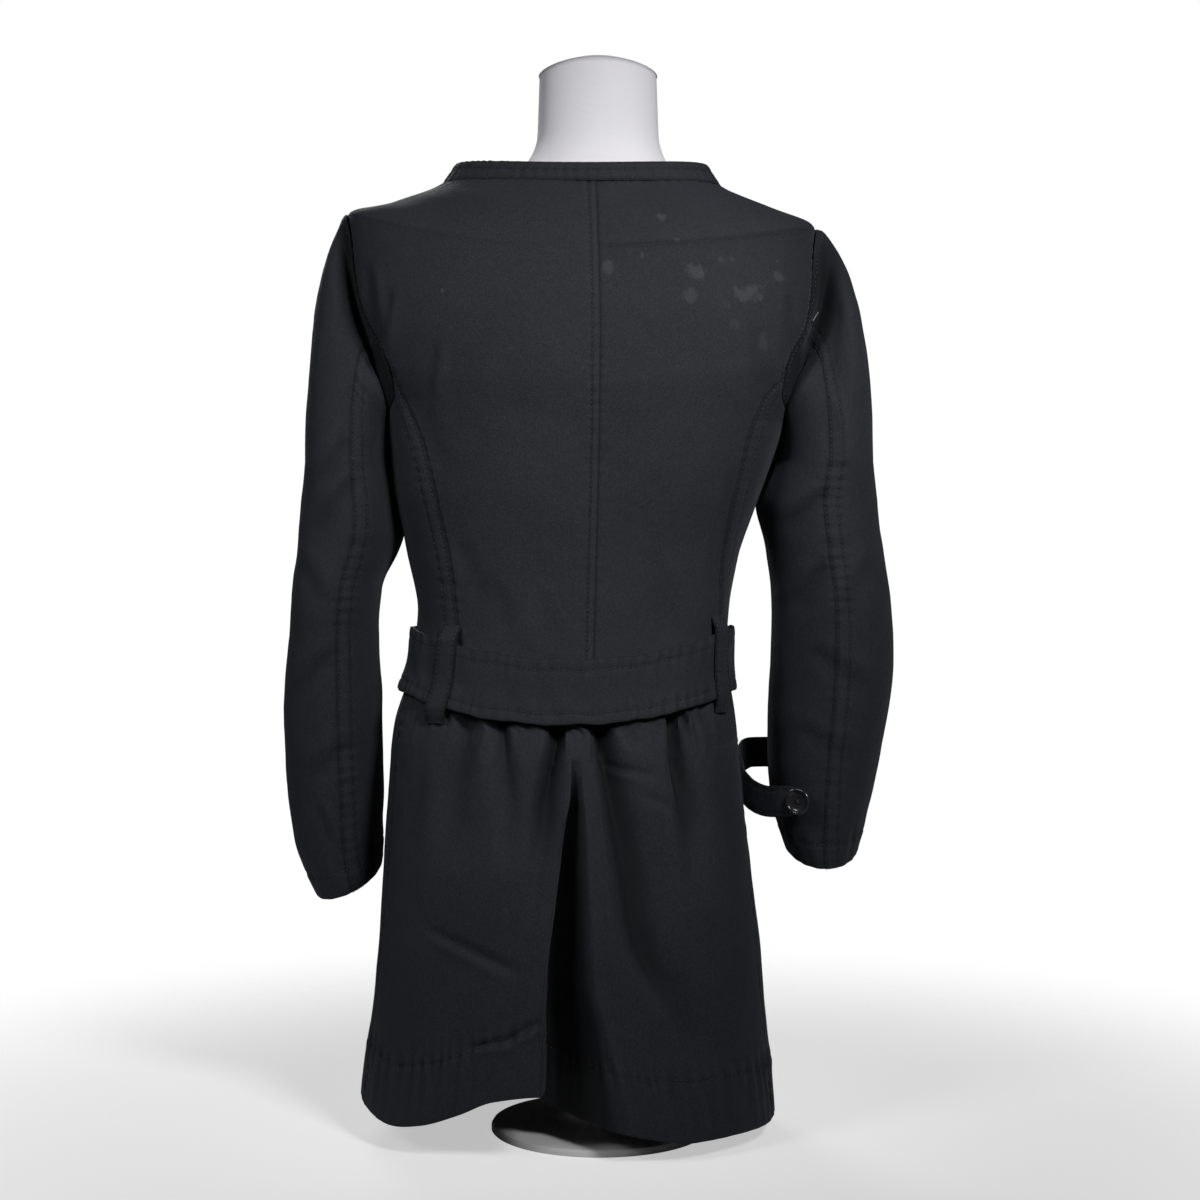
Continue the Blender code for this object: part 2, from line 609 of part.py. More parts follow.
def build_belt_loops():
    """A narrow strip standing over the belt, sewn down above and below it."""
    end, rise = (LOOP_HEIGHT / 2, LOOP_END), (BELT_WIDTH / 2 + 0.004, LOOP_OUT - 0.001)
    middle = (BELT_WIDTH / 2 - 0.002, LOOP_OUT)
    upper = (end, rise, middle)
    profile = upper + ((0, LOOP_OUT),) + tuple((-height, out) for height, out in reversed(upper))
    for side, x in LOOP_AT.items():
        middle = angle_at(x, WAIST_ROW)
        height = coat(middle, WAIST_ROW)[2]
        small = 0.01
        reach = np.linalg.norm(coat(middle + small, WAIST_ROW) - coat(middle, WAIST_ROW)) / small
        edges = [middle + share * LOOP_WIDTH / 2 / reach for share in (1, 0, -1)]
        grid = [
            [coat(edge, row_at_height(edge, height + rise), out, False) for edge in edges]
            for rise, out in profile
        ]
        wall("belt_loop_" + side, np.array(grid))


# ---------------------------------------------------------------- sleeves

def sleeve_ring(side, turn, row):
    """A point of the sleeve's tube: turn 0 is its outer side and a quarter turn its back."""
    rings = SLEEVES[side]
    index = range(len(rings))
    ring = SleeveRing(*(through(index, column(rings, name), row) for name in SleeveRing._fields))
    out, back = np.cos(turn + TWIST[side]), np.sin(turn + TWIST[side])
    x = (ring.x_outer + ring.x_inner) / 2 + (ring.x_outer - ring.x_inner) / 2 * out
    y = (ring.y_back + ring.y_front) / 2 + (ring.y_back - ring.y_front) / 2 * back
    # The sleeve lies against the front of the body's side, just under the arm.
    around = np.mod(turn + TWIST[side], 2 * np.pi)
    tuck = TUCK * np.exp(-(((around - TUCK_TURN) / TUCK_WIDTH) ** 2)) * smooth_step(1.8, 0.3, row)
    x = x - SIDE_SIGN[side] * tuck
    return np.stack([x, y, ring.z - ring.drop_out * out - ring.drop_back * back], axis=-1)


def beside_body(side, point, gap):
    """The point, moved out where it would come nearer to the body's side than the gap."""
    rows = np.linspace(SHOULDER_ROW, HEM_ROW, 90)
    heights = through(range(len(COAT_RINGS)), column(COAT_RINGS, "z_" + side), rows)
    ring = ring_at(COAT_RINGS, np.interp(-point[..., 2], -heights, rows))
    deep = np.clip(point[..., 1] / np.where(point[..., 1] > 0, ring.y_back, ring.y_front), 0, 1)
    across = np.sqrt(1 - deep ** (2 / ring.square)) ** ring.square
    edge = (ring.x_left + ring.x_right) / 2 + SIDE_SIGN[side] * across * (ring.x_left - ring.x_right) / 2
    near = gap - SIDE_SIGN[side] * (point[..., 0] - edge)
    point[..., 0] += SIDE_SIGN[side] * np.maximum(near, 0) * smooth_step(0.70, 0.64, point[..., 2])
    return point


def sleeve(side, turn, row):
    """A point of the sleeve. Rows -1 to 0 are its cap, from the armhole to the first ring of the tube."""
    turn, row = np.broadcast_arrays(np.asarray(turn, float), np.asarray(row, float))
    tube = sleeve_ring(side, turn, np.maximum(row, 0))
    share = (1 - np.cos(turn)) / 2
    is_back = np.sin(turn) >= 0
    angle = np.where(is_back, armhole_angle(share, "back"), -armhole_angle(share, "front"))
    start = coat(to_side(angle, side), armhole_row(share))
    out = np.array([SIDE_SIGN[side], 0, 0])
    start = start + out * SLEEVE_START
    first = sleeve_ring(side, turn, np.zeros_like(row))
    hang = np.zeros_like(start)
    hang[..., 2] = CAP_HANG * (start[..., 2] - first[..., 2])
    is_top = (1 + np.cos(turn)) / 2
    lead = start + out * CAP_OUT[side] * is_top[..., None] - np.array([0, 0, CAP_DROP])
    t = np.clip(row + 1, 0, 1)[..., None]
    cap = (1 - t) ** 3 * start + 3 * t * (1 - t) ** 2 * lead
    cap = cap + 3 * t * t * (1 - t) * (first + hang) + t**3 * first
    point = np.where((row < 0)[..., None], cap, tube)
    # The loose fold where the sleeve hangs from the armhole.
    fold = ARM_FOLD_DEPTH * np.exp(-(((row + 1 - ARM_FOLD_AT) / ARM_FOLD_WIDTH) ** 2))
    fold = fold * np.clip(np.sin(turn), 0, 1) ** 2
    point[..., 1] -= np.where(row < 0.5, fold, 0)
    return beside_body(side, point, SLEEVE_START + (SLEEVE_GAP - SLEEVE_START) * smooth_step(-1, -0.8, row))


def build_sleeves():
    rings = len(SLEEVES["left"])
    rows = np.concatenate([np.array(CAP_STEPS) - 1, np.arange(rings)])
    step = np.pi / ARMHOLE_STEPS
    whole = 2 * ARMHOLE_STEPS
    parts = {
        "sleeve_under_": np.arange(SLEEVE_BACK_SEAM, SLEEVE_FRONT_SEAM + 1),
        "sleeve_upper_": np.arange(SLEEVE_FRONT_SEAM, whole + SLEEVE_BACK_SEAM + 1),
    }
    for side in ("left", "right"):
        for name, steps in parts.items():
            turns = steps * step
            if side == "left":
                turns = turns[::-1]
            grid = sleeve(side, turns[None, :], rows[:, None])
            wall(name + side, trimmed(grid, SLEEVE_TRIM))


# ---------------------------------------------------------------- straps and buttons

def build_right_strap():
    """A ribbon from the sleeve's inner side, out towards the skirt and back over the sleeve."""
    index = np.arange(len(RIGHT_STRAP))
    fine = np.linspace(0, index[-1], 25)
    line = np.stack([through(index, column(RIGHT_STRAP, name), fine) for name in "xyz"], axis=-1)
    half = through(index, column(RIGHT_STRAP, "half_width"), fine) * STRAP_WIDTH / 2
    along = np.gradient(line, axis=0)
    flat = np.cross(along, (0, 0, 1))
    up = np.cross(flat, along)
    up /= np.linalg.norm(up, axis=-1, keepdims=True)
    grid = np.stack([line + up * half[:, None], line, line - up * half[:, None]])
    wall("cuff_strap_right", grid[:, ::-1], BELT_CLOTH)
    return line[-3], np.cross(along[-3], up[-3])


def build_left_strap():
    """A strap that lies on the front of the left cuff, from the inner seam outwards."""
    turns = np.radians(np.linspace(*LEFT_STRAP_TURNS, 12))
    half = STRAP_WIDTH / 2
    rows = np.array(LEFT_STRAP_ROWS)
    grid = sleeve("left", turns[None, :], rows[:, None])
    centre = (sleeve("left", 0, rows) + sleeve("left", np.pi, rows))[:, None] / 2
    away = grid - centre
    away[..., 2] = 0
    grid = grid + away / np.linalg.norm(away, axis=-1, keepdims=True) * STRAP_OUT
    middle = grid[1].copy()
    for line, rise in ((0, half), (2, -half)):
        grid[line, :, 2] = middle[:, 2] + rise
    wall("cuff_strap_left", grid, BELT_CLOTH)
    return middle[1] + away[1, 1] / np.linalg.norm(away[1, 1]) * BUTTON_CLEAR, away[1, 1]


def build_button(name, place, direction, clear=BUTTON_CLEAR):
    """A turned button: flat back, raised round rim and a sunk middle."""
    rim, face = BUTTON_THICK, BUTTON_THICK * 0.6
    profile = (
        (0, face), (BUTTON_RADIUS * 0.68, face), (BUTTON_RADIUS * 0.80, rim), (BUTTON_RADIUS * 0.94, rim),
        (BUTTON_RADIUS, rim * 0.6), (BUTTON_RADIUS * 0.96, 0), (0, 0),
    )
    mesh = bpy.data.meshes.new(name)
    mesh.from_pydata([(r, 0, z) for r, z in profile], [(i, i + 1) for i in range(len(profile) - 1)], [])
    obj = add_object(name, mesh, "button")
    turned = obj.modifiers.new("Turned", "SCREW")
    turned.steps = turned.render_steps = 16
    turned.use_merge_vertices = True
    turned.merge_threshold = 0.00001
    direction = np.asarray(direction, float) / np.linalg.norm(direction)
    obj.location = np.asarray(place, float) + direction * clear
    obj.rotation_mode = "QUATERNION"
    obj.rotation_quaternion = quaternion_to(direction)
    return obj


def quaternion_to(direction):
    """The turn that takes +Z to a direction."""
    axis = np.cross((0, 0, 1), direction)
    length = np.linalg.norm(axis)
    angle = math.atan2(length, direction[2])
    axis = axis / length if length > 1e-9 else np.array([1, 0, 0])
    return (math.cos(angle / 2), *(axis * math.sin(angle / 2)))


def build_buttons():
    angle = -np.pi / 2
    for number, height in enumerate(FRONT_BUTTONS, 1):
        row = row_at_height(angle, height)
        place = coat(angle, row, LAP_LIFT)
        build_button(f"front_button_{number}", place, outward(angle, row))
    row = row_at_height(angle, coat(angle, WAIST_ROW)[2])
    place = coat(angle, row, BELT_OUT + BELT_LAP_LIFT, False)
    build_button("belt_button", place, outward(angle, row, False), 2 * BUTTON_CLEAR)


# ---------------------------------------------------------------- dress form and stand

def build_form():
    """The torso, closed by a low dome on the neck and a flat underside."""
    angles = np.linspace(0, 2 * np.pi, FORM_COLUMNS, endpoint=False)
    rows = np.arange(len(FORM_RINGS))
    grid = np.stack([on_ring(FORM_RINGS[row], angles) for row in rows])
    points = [tuple(p) for p in grid.reshape(-1, 3)]
    count = FORM_COLUMNS
    top, bottom = grid[0].mean(axis=0), grid[-1].mean(axis=0)
    dome = top + (grid[0] - top) * 0.6
    dome[:, 2] += NECK_DOME * 0.75
    first_dome = len(points)
    points += [tuple(p) for p in dome]
    top[2] += NECK_DOME
    points += [tuple(top), tuple(bottom)]
    peak, under = len(points) - 2, len(points) - 1
    faces = []
    for c in range(count):
        n = (c + 1) % count
        faces += [(r * count + c, (r + 1) * count + c, (r + 1) * count + n, r * count + n) for r in rows[:-1]]
        faces.append((first_dome + c, c, n, first_dome + n))
        faces.append((peak, first_dome + c, first_dome + n))
        last = rows[-1] * count
        faces.append((last + c, under, last + n))
    add_mesh("form_torso", points, faces, "jersey")


def build_stand():
    """A round plate with a hub, turned in one, and a pole up to the torso."""
    profile = (
        (0, HUB_HEIGHT), (HUB_RADIUS * 0.8, HUB_HEIGHT), (HUB_RADIUS, HUB_HEIGHT - 0.004),
        (HUB_RADIUS * 1.15, BASE_THICK + 0.004), (HUB_RADIUS * 1.5, BASE_THICK),
        (BASE_RADIUS - 0.004, BASE_THICK * 0.8), (BASE_RADIUS, BASE_THICK * 0.5), (BASE_RADIUS, 0), (0, 0),
    )
    mesh = bpy.data.meshes.new("form_base")
    mesh.from_pydata([(r, 0, z) for r, z in profile], [(i, i + 1) for i in range(len(profile) - 1)], [])
    base = add_object("form_base", mesh, "stand")
    turned = base.modifiers.new("Turned", "SCREW")
    turned.steps = turned.render_steps = 40
    turned.use_merge_vertices = True
    turned.merge_threshold = 0.00001
    base.location = (CENTRE_X, 0, 0)
    low = HUB_HEIGHT + SEAM_GAP
    high = FORM_RINGS[-1].z_back - SEAM_GAP
    bpy.ops.mesh.primitive_cylinder_add(
        vertices=24, radius=POLE_RADIUS, depth=high - low, location=(CENTRE_X, 0, (low + high) / 2)
    )
    pole = bpy.context.object
    mesh = pole.data
    place = pole.location.copy()
    bpy.data.objects.remove(pole)
    mesh.name = "form_pole"
    add_object("form_pole", mesh, "stand").location = place


def main():
    for obj in list(bpy.data.objects):
        bpy.data.objects.remove(obj)
    collection = bpy.data.collections.new("belted_winter_coat")
    bpy.context.scene.collection.children.link(collection)
    build_backs()
    build_fronts()
    build_neck_band()
    build_skirt_back()
    build_skirt_fronts()
    build_belt()
    build_belt_loops()
    build_sleeves()
    build_button("cuff_button_right", *build_right_strap())
    build_button("cuff_button_left", *build_left_strap())
    build_buttons()
    build_form()
    build_stand()


if __name__ == "__main__":
    main()
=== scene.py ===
"""The looks of a belted winter coat on a limbless dress form.

Metres, +Z up. The coat's front faces -Y and the wearer's left is +X. Each cloth piece is a fine grid on the
same surface as its plain solid, pushed in and out by folds, creases, seam puckers and a slow random waviness.
"""

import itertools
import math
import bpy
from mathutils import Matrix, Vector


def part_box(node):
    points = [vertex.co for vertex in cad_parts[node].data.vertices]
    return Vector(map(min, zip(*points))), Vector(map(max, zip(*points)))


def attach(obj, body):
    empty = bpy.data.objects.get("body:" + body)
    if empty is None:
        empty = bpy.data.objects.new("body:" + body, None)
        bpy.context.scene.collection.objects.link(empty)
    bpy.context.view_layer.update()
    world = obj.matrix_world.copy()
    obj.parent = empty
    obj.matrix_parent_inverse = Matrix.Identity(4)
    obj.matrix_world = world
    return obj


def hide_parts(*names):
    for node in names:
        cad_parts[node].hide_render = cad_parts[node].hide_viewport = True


bl_info = {
    "name": "Belted Coat Looks",
    "version": (1, 0, 0),
    "blender": (4, 5, 0),
    "location": "3D View > Sidebar > Coat",
    "description": "Makes the cloth, stitching, buttons and dress form of a belted coat",
    "category": "Object",
}

from collections import namedtuple

import bpy
import numpy as np

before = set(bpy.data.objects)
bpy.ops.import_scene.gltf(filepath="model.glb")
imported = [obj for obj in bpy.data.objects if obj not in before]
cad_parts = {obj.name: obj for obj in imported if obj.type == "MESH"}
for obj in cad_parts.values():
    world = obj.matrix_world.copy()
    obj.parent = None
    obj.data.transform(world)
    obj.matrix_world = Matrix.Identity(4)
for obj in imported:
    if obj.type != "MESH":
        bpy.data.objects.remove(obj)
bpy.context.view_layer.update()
BODY = "root"


def records(kind, rows):
    return tuple(kind(*row) for row in rows)



# ---------------------------------------------------------------- the coat's form

Ring = namedtuple("Ring", "x_left x_right y_back y_front z_left z_right z_back z_front square")
COAT_RINGS = records(Ring, (
    (0.127, -0.095, 0.060, -0.082, 0.843, 0.842, 0.833, 0.784, 1.00),
    (0.139, -0.107, 0.068, -0.088, 0.826, 0.824, 0.816, 0.768, 1.00),
    (0.183, -0.150, 0.085, -0.101, 0.808, 0.803, 0.794, 0.750, 0.94),
    (0.220, -0.188, 0.097, -0.112, 0.797, 0.784, 0.758, 0.714, 0.87),
    (0.216, -0.190, 0.104, -0.122, 0.727, 0.722, 0.702, 0.668, 0.83),
    (0.203, -0.182, 0.105, -0.126, 0.667, 0.666, 0.654, 0.632, 0.84),
    (0.187, -0.164, 0.101, -0.124, 0.617, 0.617, 0.612, 0.597, 0.88),
    (0.180, -0.143, 0.096, -0.117, 0.562, 0.562, 0.558, 0.548, 0.90),
    (0.168, -0.122, 0.089, -0.106, 0.502, 0.502, 0.497, 0.494, 0.92),
    (0.159, -0.1125, 0.086, -0.100, 0.452, 0.452, 0.438, 0.448, 0.92),
    (0.1625, -0.1105, 0.088, -0.100, 0.411, 0.412, 0.385, 0.407, 0.92),
    (0.180, -0.1190, 0.100, -0.110, 0.352, 0.352, 0.327, 0.352, 0.92),
    (0.187, -0.1280, 0.112, -0.122, 0.262, 0.262, 0.242, 0.262, 0.92),
    (0.196, -0.1420, 0.122, -0.133, 0.142, 0.138, 0.142, 0.132, 0.94),
    (0.209, -0.1520, 0.132, -0.142, 0.032, 0.014, 0.038, 0.018, 0.96),
))
BAND_ROW, SHOULDER_ROW, UNDERARM_ROW, WAIST_ROW, HEM_ROW = 1, 3, 6, 10, 14

ArmholeRow = namedtuple("ArmholeRow", "share back front")
ARMHOLE = records(ArmholeRow, (
    (0.000, 0, 0), (0.040, 8, 9), (0.150, 15, 17),
    (0.310, 19, 24), (0.500, 24, 30), (0.690, 31, 33),
    (0.850, 28, 28), (0.960, 15, 15), (1.000, 0, 0),
))
PRINCESS_SHARE = 0.6913
PRINCESS_INSET = 0.02

# Seams of the back, as the distance from the middle at each height.
SeamPoint = namedtuple("SeamPoint", "z x")
CENTRE_SEAM = records(SeamPoint, (
    (0.842, 0.004), (0.682, 0.000), (0.582, 0.001),
    (0.462, 0.004), (0.362, 0.006),
))
PRINCESS = {
    "left": records(SeamPoint, (
        (0.667, 0.182), (0.627, 0.1642), (0.592, 0.1500),
        (0.531, 0.1359), (0.477, 0.1254), (0.382, 0.117),
    )),
    "right": records(SeamPoint, (
        (0.662, -0.168), (0.623, -0.1342), (0.563, -0.1170),
        (0.4985, -0.1060), (0.466, -0.1036), (0.382, -0.100),
    )),
}
SKIRT_SIDE = {
    "left": records(SeamPoint, (
        (0.412, 0.168), (0.352, 0.173), (0.182, 0.187), (0.012, 0.206),
    )),
    "right": records(SeamPoint, (
        (0.412, -0.117), (0.352, -0.1195), (0.182, -0.133), (0.012, -0.149),
    )),
}

# Folds of the skirt, each down a line of points. A lean over 1 makes the flank on the wearer's right wider.
FoldPoint = namedtuple("FoldPoint", "z x width depth")
Fold = namedtuple("Fold", "lean line")
FOLDS = (
    Fold(1.0, records(FoldPoint, (
        (0.378, 0.1105, 0.014, 0.000), (0.360, 0.1120, 0.018, 0.009),
        (0.300, 0.1220, 0.028, 0.006), (0.235, 0.1260, 0.036, 0.000),
    ))),
    Fold(1.0, records(FoldPoint, (
        (0.380, 0.0840, 0.010, 0.000), (0.360, 0.0835, 0.012, 0.010),
        (0.310, 0.0795, 0.018, 0.007), (0.240, 0.0765, 0.026, 0.000),
    ))),
    Fold(1.2, records(FoldPoint, (
        (0.376, 0.0350, 0.010, 0.000), (0.358, 0.0355, 0.012, 0.017),
        (0.300, 0.0445, 0.017, 0.013), (0.245, 0.0490, 0.024, 0.006),
        (0.190, 0.0560, 0.030, 0.000),
    ))),
    Fold(2.0, records(FoldPoint, (
        (0.376, 0.0030, 0.012, 0.000), (0.358, 0.0015, 0.013, 0.017),
        (0.300, -0.0105, 0.022, 0.014), (0.231, -0.0248, 0.034, 0.012),
        (0.195, -0.0297, 0.033, 0.011), (0.165, -0.0396, 0.028, 0.010),
        (0.135, -0.0578, 0.026, 0.008), (0.106, -0.0743, 0.024, 0.006),
        (0.070, -0.0900, 0.024, 0.000),
    ))),
    Fold(1.8, records(FoldPoint, (
        (0.378, -0.0615, 0.010, 0.000), (0.358, -0.0630, 0.012, 0.016),
        (0.320, -0.0675, 0.018, 0.013), (0.285, -0.0743, 0.026, 0.010),
        (0.248, -0.0792, 0.028, 0.005), (0.205, -0.0850, 0.030, 0.000),
    ))),
)

# The deep fold at the middle of the back opens downwards between two edges.
Pleat = namedtuple("Pleat", "z x_left x_right depth")
PLEAT = records(Pleat, (
    (0.3300, 0.0235, 0.0150, 0.000),
    (0.3000, 0.0242, 0.0130, 0.012),
    (0.2805, 0.0275, 0.0110, 0.024),
    (0.2145, 0.0368, 0.0070, 0.042),
    (0.1485, 0.0440, 0.0030, 0.052),
    (0.0990, 0.0460, -0.0100, 0.056),
    (0.0220, 0.0480, -0.0280, 0.060),
))
# Across it, as shares of its width from the left edge: it drops steeply, then rises slowly to the right edge.
PLEAT_DROP = (-0.03, 0.07)
PLEAT_RISE = (1.0, 0.42)
PLEAT_UNDER = 0.35
# The fold depth that the skirt's painted shade is measured against
FOLD_SHADE = 0.020
FrontFold = namedtuple("FrontFold", "degrees depth")
FRONT_FOLDS = records(FrontFold, ((-38, 0.010), (-62, 0.008), (-118, 0.008), (-142, 0.010)))
FRONT_FOLD_WIDTH = 8

HemPoint = namedtuple("HemPoint", "x z")
HEM_BACK = records(HemPoint, (
    (-0.150, 0.014), (-0.112, 0.016), (-0.079, 0.016), (-0.027, 0.026),
    (0.002, 0.032), (0.017, 0.036), (0.033, 0.046), (0.048, 0.059),
    (0.086, 0.054), (0.118, 0.040), (0.149, 0.028), (0.176, 0.023),
    (0.209, 0.032),
))

# The fronts lap at the middle, the right one outside.
LAP = 0.028
LAP_RAMP = 0.05
LAP_LIFT = 0.0030

# Sleeves, as rings down the tube. drop_out and drop_back are how far its outer and back edges hang lower.
SleeveRing = namedtuple("SleeveRing", "x_outer x_inner y_back y_front z drop_out drop_back")
SLEEVES = {
    "left": records(SleeveRing, (
        (0.2580, 0.1842, 0.056, -0.066, 0.582, 0.000, 0.000),
        (0.2640, 0.1762, 0.052, -0.066, 0.523, 0.000, 0.000),
        (0.2700, 0.1930, 0.048, -0.066, 0.471, 0.000, 0.002),
        (0.2728, 0.1965, 0.043, -0.069, 0.4357, 0.000, 0.004),
        (0.2800, 0.1935, 0.032, -0.076, 0.3655, 0.000, 0.008),
        (0.2785, 0.1935, 0.022, -0.084, 0.313, 0.003, 0.010),
        (0.2735, 0.1950, 0.010, -0.092, 0.260, 0.007, 0.012),
        (0.2560, 0.1960, -0.002, -0.097, 0.214, 0.011, 0.012),
    )),
    "right": records(SleeveRing, (
        (-0.2400, -0.1540, 0.056, -0.066, 0.582, 0.000, 0.000),
        (-0.2440, -0.1412, 0.052, -0.066, 0.542, 0.000, 0.000),
        (-0.2490, -0.1465, 0.048, -0.066, 0.502, 0.000, 0.002),
        (-0.2570, -0.1510, 0.043, -0.069, 0.453, 0.000, 0.004),
        (-0.2590, -0.1500, 0.034, -0.074, 0.400, 0.000, 0.006),
        (-0.2530, -0.1490, 0.024, -0.082, 0.348, 0.000, 0.010),
        (-0.2440, -0.1520, 0.012, -0.092, 0.292, 0.000, 0.014),
        (-0.2320, -0.1650, 0.000, -0.100, 0.244, 0.000, 0.018),
    )),
}
SIDE_SIGN = {"left": 1, "right": -1}
CAP_OUT = {"left": 0.008, "right": 0.020}
TWIST = {"left": math.radians(14), "right": math.radians(3)}
SLEEVE_START = 0.0002
SLEEVE_GAP = 0.0030
CAP_DROP = 0.001
CAP_HANG = 0.75
ARM_FOLD_DEPTH = 0.026
ARM_FOLD_AT = 0.25
ARM_FOLD_WIDTH = 0.17
# Painted shade beside the armhole's fold: where along the sleeve's cap it is strongest, and how far it
# spreads
ARM_SHADE = {"left": (0.15, 0.27), "right": (0.24, 0.24)}
SLEEVE_HEAD = 0.0032
TUCK = 0.008
TUCK_TURN = math.radians(202)
TUCK_WIDTH = math.radians(26)
BACK_SEAM_TURN = math.pi / 2
FRONT_SEAM_TURN = 1.25 * math.pi

# Belt, loops and straps
BELT_WIDTH = 0.055
BELT_CLOTH = 0.0018
BELT_OUT = 0.0066
BELT_TURN = 0.607
BELT_LAP_LIFT = 0.0026
LOOP_WIDTH = 0.018
LOOP_HEIGHT = 0.082
LOOP_END = 0.0026
LOOP_OUT = 0.0092
LOOP_AT = {"left": 0.1275, "right": -0.0975}
STRAP_WIDTH = 0.027
STRAP_OUT = 0.0035
LEFT_STRAP_TURNS = (318, 225)
LEFT_STRAP_ROW = 5.70
StrapPoint = namedtuple("StrapPoint", "x y z half_width")
RIGHT_STRAP = records(StrapPoint, (
    (-0.1650, -0.0785, 0.322, 1.0),
    (-0.1500, -0.0780, 0.323, 1.0),
    (-0.1375, -0.0735, 0.323, 1.0),
    (-0.1290, -0.0660, 0.320, 1.0),
    (-0.1245, -0.0520, 0.313, 1.0),
    (-0.1262, -0.0350, 0.299, 1.0),
    (-0.1340, -0.0180, 0.289, 1.0),
    (-0.1470, -0.0030, 0.285, 1.0),
    (-0.1620, 0.0090, 0.286, 1.0),
    (-0.1720, 0.0160, 0.287, 0.8),
    (-0.1770, 0.0190, 0.288, 0.45),
))

# The dress form, in rings like the coat's and inside them.
FORM_RINGS = records(Ring, (
    (0.053, -0.0495, 0.044, -0.054, 0.921, 0.921, 0.927, 0.912, 1.00),
    (0.054, -0.0505, 0.046, -0.056, 0.892, 0.892, 0.892, 0.882, 1.00),
    (0.055, -0.0515, 0.048, -0.058, 0.867, 0.867, 0.862, 0.847, 1.00),
    (0.066, -0.060, 0.053, -0.064, 0.842, 0.842, 0.837, 0.812, 1.00),
    (0.110, -0.090, 0.060, -0.074, 0.825, 0.821, 0.810, 0.777, 0.98),
    (0.165, -0.138, 0.076, -0.090, 0.809, 0.800, 0.780, 0.742, 0.95),
    (0.190, -0.166, 0.086, -0.100, 0.782, 0.772, 0.742, 0.702, 0.92),
    (0.188, -0.165, 0.091, -0.108, 0.722, 0.717, 0.692, 0.662, 0.88),
    (0.177, -0.155, 0.092, -0.112, 0.667, 0.666, 0.654, 0.632, 0.90),
    (0.168, -0.145, 0.089, -0.110, 0.617, 0.617, 0.612, 0.597, 0.94),
    (0.160, -0.125, 0.084, -0.104, 0.562, 0.562, 0.558, 0.548, 0.96),
    (0.151, -0.106, 0.077, -0.093, 0.502, 0.502, 0.497, 0.494, 0.96),
    (0.145, -0.098, 0.074, -0.087, 0.452, 0.452, 0.442, 0.448, 0.96),
    (0.148, -0.097, 0.072, -0.087, 0.411, 0.412, 0.397, 0.407, 0.96),
    (0.158, -0.103, 0.070, -0.092, 0.362, 0.362, 0.352, 0.357, 0.96),
    (0.156, -0.101, 0.068, -0.092, 0.327, 0.327, 0.325, 0.327, 0.98),
    (0.140, -0.088, 0.060, -0.080, 0.312, 0.312, 0.312, 0.312, 1.00),
))
NECK_DOME = 0.010
# The dome of the neck, as shares of its radius and of its height
NECK_CAP = ((0.0, 1.0), (0.35, 0.90), (0.62, 0.72), (0.82, 0.44), (0.93, 0.20), (0.985, 0.06))
LIP = 0.0008
FORM_REACH = 0.12
